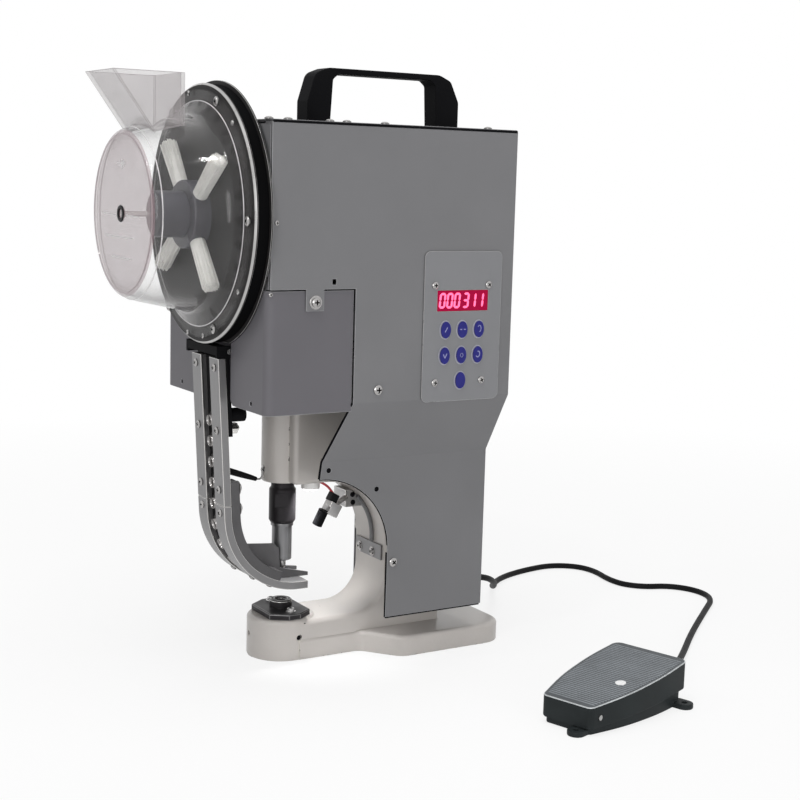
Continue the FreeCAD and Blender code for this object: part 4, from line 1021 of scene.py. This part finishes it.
strand = bmesh.new()
latheInto(strand, [(0, 0), (0, brush["thick"]), (44, brush["thick"] * 1.08), (49.5, brush["thick"] * 0.9), (51, 0)],
          (0, 0, 0), up, 6)
strandHead = hiddenHead(strand, "strandHead", sharp=80)
random.seed(brush["seed"])
strandSpots = []
cores = bmesh.new()
collars = bmesh.new()
hubCentre = Vector((0, brush["plane"], hopperHeight))
for k in range(brush["count"]):
    along = brushAxis(k)
    across = Vector((0, 1, 0))
    other = along.cross(across)
    latheInto(cores, [(22, 0), (22, 5.4), (30, 5.4), (30.2, 7.0), (36, 6.9), (79, 6.7), (80.5, 5.6), (80.5, 0)],
              hubCentre, along, 24)
    latheInto(collars, [(19, 0), (19, 8.5), (29.4, 8.5), (30.6, 7.9), (30.8, 7.1), (29.5, 6.6), (29.5, 0)],
              hubCentre, along, 28)
    for n in range(brush["strands"]):
        reachOut = brush["radius"] * math.sqrt((n + 0.5) / brush["strands"])
        angle = n * golden + random.uniform(-0.12, 0.12)
        side = across * math.cos(angle) + other * math.sin(angle)
        begin = hubCentre + along * (brush["from"] + random.uniform(0, 1.6)
                                     - 0.9 * (reachOut / brush["radius"]) ** 4) + side * reachOut * 0.93
        aim = along + side * (brush["splay"] * reachOut / brush["radius"] + random.uniform(-0.006, 0.006))
        strandSpots.append((tuple(begin), tuple(aim), random.uniform(0.965, 1.0)))
settle(cores, "brushCores", "bristle", "brush_wheel", standsFor=("brushes",))
settle(collars, "hubCollars", "hubPlastic", "brush_wheel")
headOnPoints("brushStrands", strandSpots, strandHead, "bristle", "brush_wheel")

marks = bmesh.new()
markDepths = (-165.22, -164.95)
for x1, z1, x2, z2 in ((-43, 426.5, -12, 425.5), (12, 426, 43, 425), (-35, 406.5, 29, 406), (-22, 388.5, 24, 387.5)):
    prismInto(marks, [(x1, z1 - 0.55), (x2, z2 - 0.55), (x2, z2 + 0.55), (x1, z1 + 0.55)], *markDepths, "xz")
arrow = [(-10, 470.4), (2, 470.4), (2, 467), (10, 471), (2, 475), (2, 471.6), (-10, 471.6)]
prismInto(marks, arrow, *markDepths, "xz")
settle(marks, "bowlMarks", "bowlMark", "machine")
# painted highlight: milky beads round the front disc, the wall and the flange, for the bright lines along the bowl's
# rims
rimHighlights = bmesh.new()
for radius, y, thick in ((70.2, -163.9, 0.7), (76.3, -156.6, 0.6), (102.0, -93.3, 0.5)):
    bead = [(thick * math.sin(a), radius + thick * math.cos(a)) for a in [math.pi * k / 4 for k in range(9)]]
    latheInto(rimHighlights, bead, (0, y, hopperHeight), front, 96)
settle(rimHighlights, "bowlRims", "clearRim", "machine")
spindleRing = bmesh.new()
for profile in ([(0, 4.7), (0, 7.2), (0.9, 7.6), (1.6, 7.0), (1.6, 4.7)], [(-0.5, 4.7), (1.6, 4.7)]):
    latheInto(spindleRing, profile, (0, -164.6, hopperHeight), front, 32)
settle(spindleRing, "spindleRing", "blackPlastic", "machine")
print("hopper is filled in")


# ---- chute: eyelets in the slot, the nut at its side, the spring's sleeve and hook ----
eyelet = bmesh.new()
flange = [(0, 4.6), (0, 8.2), (0.3, 8.6), (0.7, 8.3), (1.0, 6.2)]
barrel = [(1.7, 5.5), (4.7, 5.25), (4.95, 5.0), (4.7, 4.7), (0, 4.6)]
latheInto(eyelet, flange + barrel, (0, 0, 0), up, 24)
bmesh.ops.remove_doubles(eyelet, verts=eyelet.verts, dist=0.001)
eyeletHead = hiddenHead(eyelet, "eyeletHead", sharp=50)
row = {"pitch": 18.2, "top": 236.0, "joint": 152, "depth": 6.1, "end": 0.30}
rowPath = []
for n in range(9):
    z = row["top"] - (row["top"] - row["joint"]) * n / 8
    rowPath.append((0, chuteFace(z) + row["depth"], z))
for n in range(1, 25):
    rowPath.append(onBend(math.pi / 2 - (math.pi / 2 - row["end"]) * n / 24, depth=row["depth"]))
rowMesh = bpy.data.meshes.new("eyeletRowPath")
rowLinks = [(k, k + 1) for k in range(len(rowPath) - 1)]
rowMesh.from_pydata([tuple(c * milli for c in spot) for spot in rowPath], rowLinks, [])
growPiece("eyeletRow", rowMesh, "path", {"Piece": eyeletHead, "Pitch": row["pitch"] * milli, "Across": (1, 0, 0)},
          "eyeletDark", "chute")

nut = bmesh.new()
latheInto(nut, [(0, 0), (0, 5.6), (11, 5.6), (11.6, 4.9), (11.6, 2.6), (13.2, 2.6), (13.6, 2.2), (13.6, 0)],
          (20, -71.0, 230.5), rear, 6)
settle(nut, "chuteNut", "brightSteel", "chute")

sleeve = bmesh.new()
run = [(0, -67.6, 189.1), (0, -54, 184.4), (0, -44, 180.9), (0, -35, 177.8), (0, -28.6, 175.5)]
tubeInto(sleeve, run, [3.2, 3.2, 3.0, 2.6, 2.1], 18)
sleevePiece = settle(sleeve, "springSleeve", "beltRubber", None, standsFor=("return_spring",))
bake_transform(sleevePiece)
hook = bmesh.new()
tubeInto(hook, [(0, -30.5, 176.2), (0, -27.4, 175.2), (0, -24.6, 175.2), (0, -22.8, 176.7), (0, -22, 179.4),
                (0, -22, 182.4), (0, -23.2, 184.6)], 0.9, 10)
settle(hook, "springHook", "steel", "machine")
print("chute is filled in")


# ---- throat: lamp, wires, cable and its plate ----
plateOutline = [(-25, 102), (25, 102), (25, 87), (-15, 87), (-25, 96)]
cablePlate = bmesh.new()
prismInto(cablePlate, plateOutline, 97.9, 99.8, "xz")
softenEdges(cablePlate, 0.3, 1)
settle(cablePlate, "cablePlate", "aluminium", "machine")
throatCable = bmesh.new()
cableArc = {"centre": (6, 32, 104.5), "radius": 66.0, "sway": 2.5, "turns": [0.78 - 0.80 * n / 16 for n in range(17)]}
x, y, z = cableArc["centre"]
arcPath = [(x + cableArc["sway"] * math.sin(a * 2), y + cableArc["radius"] * math.cos(a),
            z + cableArc["radius"] * math.sin(a)) for a in cableArc["turns"]]
tubeInto(throatCable, arcPath, 2.2, 12)
settle(throatCable, "throatCable", "cableGrey", "machine")
wires = bmesh.new()
for shift, lift in ((0, 0), (2.4, 0.8)):
    tubeInto(wires, curvedPath([(14 + shift, 24, 171.8), (15 + shift, 31, 171 + lift), (16 + shift, 40, 166 + lift),
                                (18 + shift, 47, 157), (16 + shift, 50, 151)]), 0.75, 8)
settle(wires, "lampWires", "wireRed", "machine")
blackCube = bmesh.new()
leaning = Matrix.Rotation(math.radians(-30), 3, "X")
boxInto(blackCube, (15.5, 40.5, 150.5), (24.5, 49, 159), turn=leaning, about=(20, 45, 155))
softenEdges(blackCube, 0.6)
settle(blackCube, "wireBlock", "blackPlastic", "machine")
led = bmesh.new()
latheInto(led, [(0, 0), (0, 1.5), (1.2, 1.4), (2.0, 0.9), (2.3, 0)], (0, 0, 0), up, 14)
ledHead = hiddenHead(led, "ledHead", sharp=60)
ledRing = {"centre": (16, 22, 165.6), "radius": 5.4}
x, y, z = ledRing["centre"]
ledSpots = [(x + ledRing["radius"] * math.cos(a), y + ledRing["radius"] * math.sin(a), z)
            for a in [math.radians(degrees) for degrees in range(0, 360, 60)]] + [(x, y, z)]
headOnPoints("lampLeds", [(spot, down, 1.0) for spot in ledSpots], ledHead, "ledGlow", "machine")
print("throat is filled in")


# ---- pedal: ribs across the tread, the white dot, sleeves on the lead ----
ribs = {"first": 5.0, "last": 127.0, "pitch": 3.3, "margin": 3.2, "height": 0.5, "half": 0.95}
sides = [(-2.2, 25.6), (40, 36.2), (88, 40.4), (132, 38.8)]


def treadHalf(u):
    # half the tread's width at that distance from the toe
    for (u0, w0), (u1, w1) in zip(sides[:-1], sides[1:]):
        if u <= u1:
            return w0 + (w1 - w0) * (u - u0) / (u1 - u0)
    return sides[-1][1]


rib = bmesh.new()
rows = []
for x, share in ((-1, 0.2), (-0.97, 1), (0.97, 1), (1, 0.2)):
    rows.append([rib.verts.new((x, ribs["half"] * y, ribs["height"] * z * share))
                 for y, z in ((-1, -0.4), (-0.7, 0.6), (0, 1), (0.7, 0.6), (1, -0.4))])
for low, high in zip(rows[:-1], rows[1:]):
    for k in range(5):
        rib.faces.new((low[k], low[(k + 1) % 5], high[(k + 1) % 5], high[k]))
rib.faces.new(rows[0])
rib.faces.new(list(reversed(rows[-1])))
ribHead = hiddenHead(rib, "ribHead", sharp=50)
treadUp = (-ahead * math.sin(tread["tilt"]) + Vector((0, 0, math.cos(tread["tilt"]))))
ribSpots = []
for n in range(int((ribs["last"] - ribs["first"]) / ribs["pitch"]) + 1):
    u = ribs["first"] + ribs["pitch"] * n
    ribSpots.append((tuple(onTread(u, 0)), tuple(treadUp), 1.0, tread["heading"] + math.pi / 2,
                     treadHalf(u) - ribs["margin"]))
headOnPoints("treadRibs", ribSpots, ribHead, "pedalGrey", "pedal")
dot = bmesh.new()
latheInto(dot, [(-0.4, 0), (-0.4, 4.8), (0.62, 4.8), (0.8, 4.4), (0.9, 0)], onTread(55, -17), treadUp, 32)
settle(dot, "treadDot", "dotWhite", "pedal")
reliefs = bmesh.new()
reliefLength, grooveDepth = 28, 0.45
for start, thick in ((0.6, (5.6, 3.5)), (lead["length"] * 1000 - 28.6, (3.5, 5.4))):
    spine = alongLine(leadLine, start, reliefLength, reliefLength + 1)
    wide = [thick[0] + (thick[1] - thick[0]) * k / reliefLength - (grooveDepth if k % 4 == 3 else 0)
            for k in range(reliefLength + 1)]
    tubeInto(reliefs, spine, wide, 20)
settle(reliefs, "leadReliefs", "beltRubber", "machine")
print("pedal is filled in")


# ---- control panel: digits, key rims and marks ----
display = {"face": 113.35, "stroke": 2.15, "slant": 0.10, "wide": 5.0, "tall": 12.4, "base": 347.6}
strokes = {"0": "abcdef", "3": "abgcd", "1": "bc"}
corners = {"a": ((0, 1), (1, 1)), "b": ((1, 1), (1, 0.5)), "c": ((1, 0.5), (1, 0)), "d": ((0, 0), (1, 0)),
           "e": ((0, 0), (0, 0.5)), "f": ((0, 0.5), (0, 1)), "g": ((0, 0.5), (1, 0.5))}
digitSpots = [("0", 101.4), ("0", 109.5), ("0", 117.6), ("3", 127.4), ("1", 135.2), ("1", 143.7)]


def strokeInto(shape, a, b, half, low, high):
    # a bar with pointed ends between two points of the YZ plane
    a, b = Vector(a), Vector(b)
    run = (b - a).normalized()
    side = Vector((-run.y, run.x)) * half
    pts = [a - run * half * 0.2, a + run * half + side, b - run * half + side, b + run * half * 0.2,
           b - run * half - side, a + run * half - side]
    prismInto(shape, [tuple(q) for q in pts], low, high, "yz")


digits = bmesh.new()


def onDigit(y, u, v):
    # a place on a slanted digit, u and v from 0 to 1 across it and up it
    return (y + u * display["wide"] + v * display["slant"] * display["tall"], display["base"] + v * display["tall"])


for mark, y in digitSpots:
    for key in strokes[mark]:
        first, last = (onDigit(y, u, v) for u, v in corners[key])
        strokeInto(digits, first, last, display["stroke"] / 2, display["face"], display["face"] + 0.08)
settle(digits, "displayDigits", "digitGlow", "machine", smooth=False)

keyPlaces = {1: (108.5, 326.6), 2: (127.0, 326.6), 3: (145.5, 326.6), 4: (108.0, 302.6), 5: (126.5, 302.6),
             6: (145.0, 302.6), 7: (126.3, 278.8)}
keyRim = {"across": 6.5, "up": 8.9, "from": 113.5, "to": 113.62}
keyTop = {"half": 0.42, "from": 115.35, "to": 115.42}
keyRings = bmesh.new()
for y, z in keyPlaces.values():
    outline = [(y + keyRim["across"] * u, z + keyRim["up"] * v) for u, v in ringPoints(1, 40)]
    prismInto(keyRings, outline, keyRim["from"], keyRim["to"], "yz")
settle(keyRings, "keyRims", "keyRim", "machine", smooth=False)
signs = {
    1: [[(1.4, 2.6), (-1.4, -2.2)]],
    2: [[(-3.2, 0.2), (-0.9, 0.2)], [(0.9, 0.2), (3.2, 0.2)]],
    3: [[(1.9 * math.cos(a), 0.6 + 3.0 * math.sin(a)) for a in [2.6 - 4.2 * k / 10 for k in range(11)]]],
    4: [[(-2.0, 1.6), (-0.2, -2.4), (2.0, 2.2)]],
    5: [[(1.5 * math.cos(a), 1.9 * math.sin(a)) for a in [2 * math.pi * k / 14 for k in range(15)]]],
    6: [[(-2.4, -1.0), (-1.0, -2.4), (0.8, -2.0), (2.0, 0.4), (1.2, 3.0), (-0.8, 3.2)]],
}
for number, lines in signs.items():
    sign = bmesh.new()
    y, z = keyPlaces[number]
    for line in lines:
        for a, b in zip(line[:-1], line[1:]):
            strokeInto(sign, (y + a[0], z + a[1]), (y + b[0], z + b[1]), keyTop["half"], keyTop["from"], keyTop["to"])
    settle(sign, "keySign%d" % number, "keyMark", "key_%d" % number, smooth=False)
print("panel is filled in")


# ---- the pilot spring's coil, seven turns, and finishes for what the housing hides ----
coil = bmesh.new()
spring = {"radius": 4.3, "from": 136.0, "tall": 20.0, "wire": 0.7, "steps": 84}
tubeInto(coil, [(spring["radius"] * math.cos(math.pi * k / 6), spring["radius"] * math.sin(math.pi * k / 6),
                 spring["from"] + spring["tall"] * k / spring["steps"]) for k in range(spring["steps"] + 1)],
         spring["wire"], 8)
pilotCoil = settle(coil, "pilotCoil", "steel", "ram", standsFor=("pilot_spring",))
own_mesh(pilotCoil)
inside = {
    "ram_bushes": "bronze", "drive_frame": "motorGrey", "main_bearings": "steel", "crankshaft": "steel",
    "flywheel": "gunmetal", "motor": "motorGrey", "motor_pulley": "aluminium", "drive_belt": "beltRubber",
    "hopper_motor": "motorGrey", "control_board": "circuitGreen",
}
for node, look in inside.items():
    cadNodes[node].data.materials.clear()
    cadNodes[node].data.materials.append(finishes[look])
print("CAD pieces are dressed")
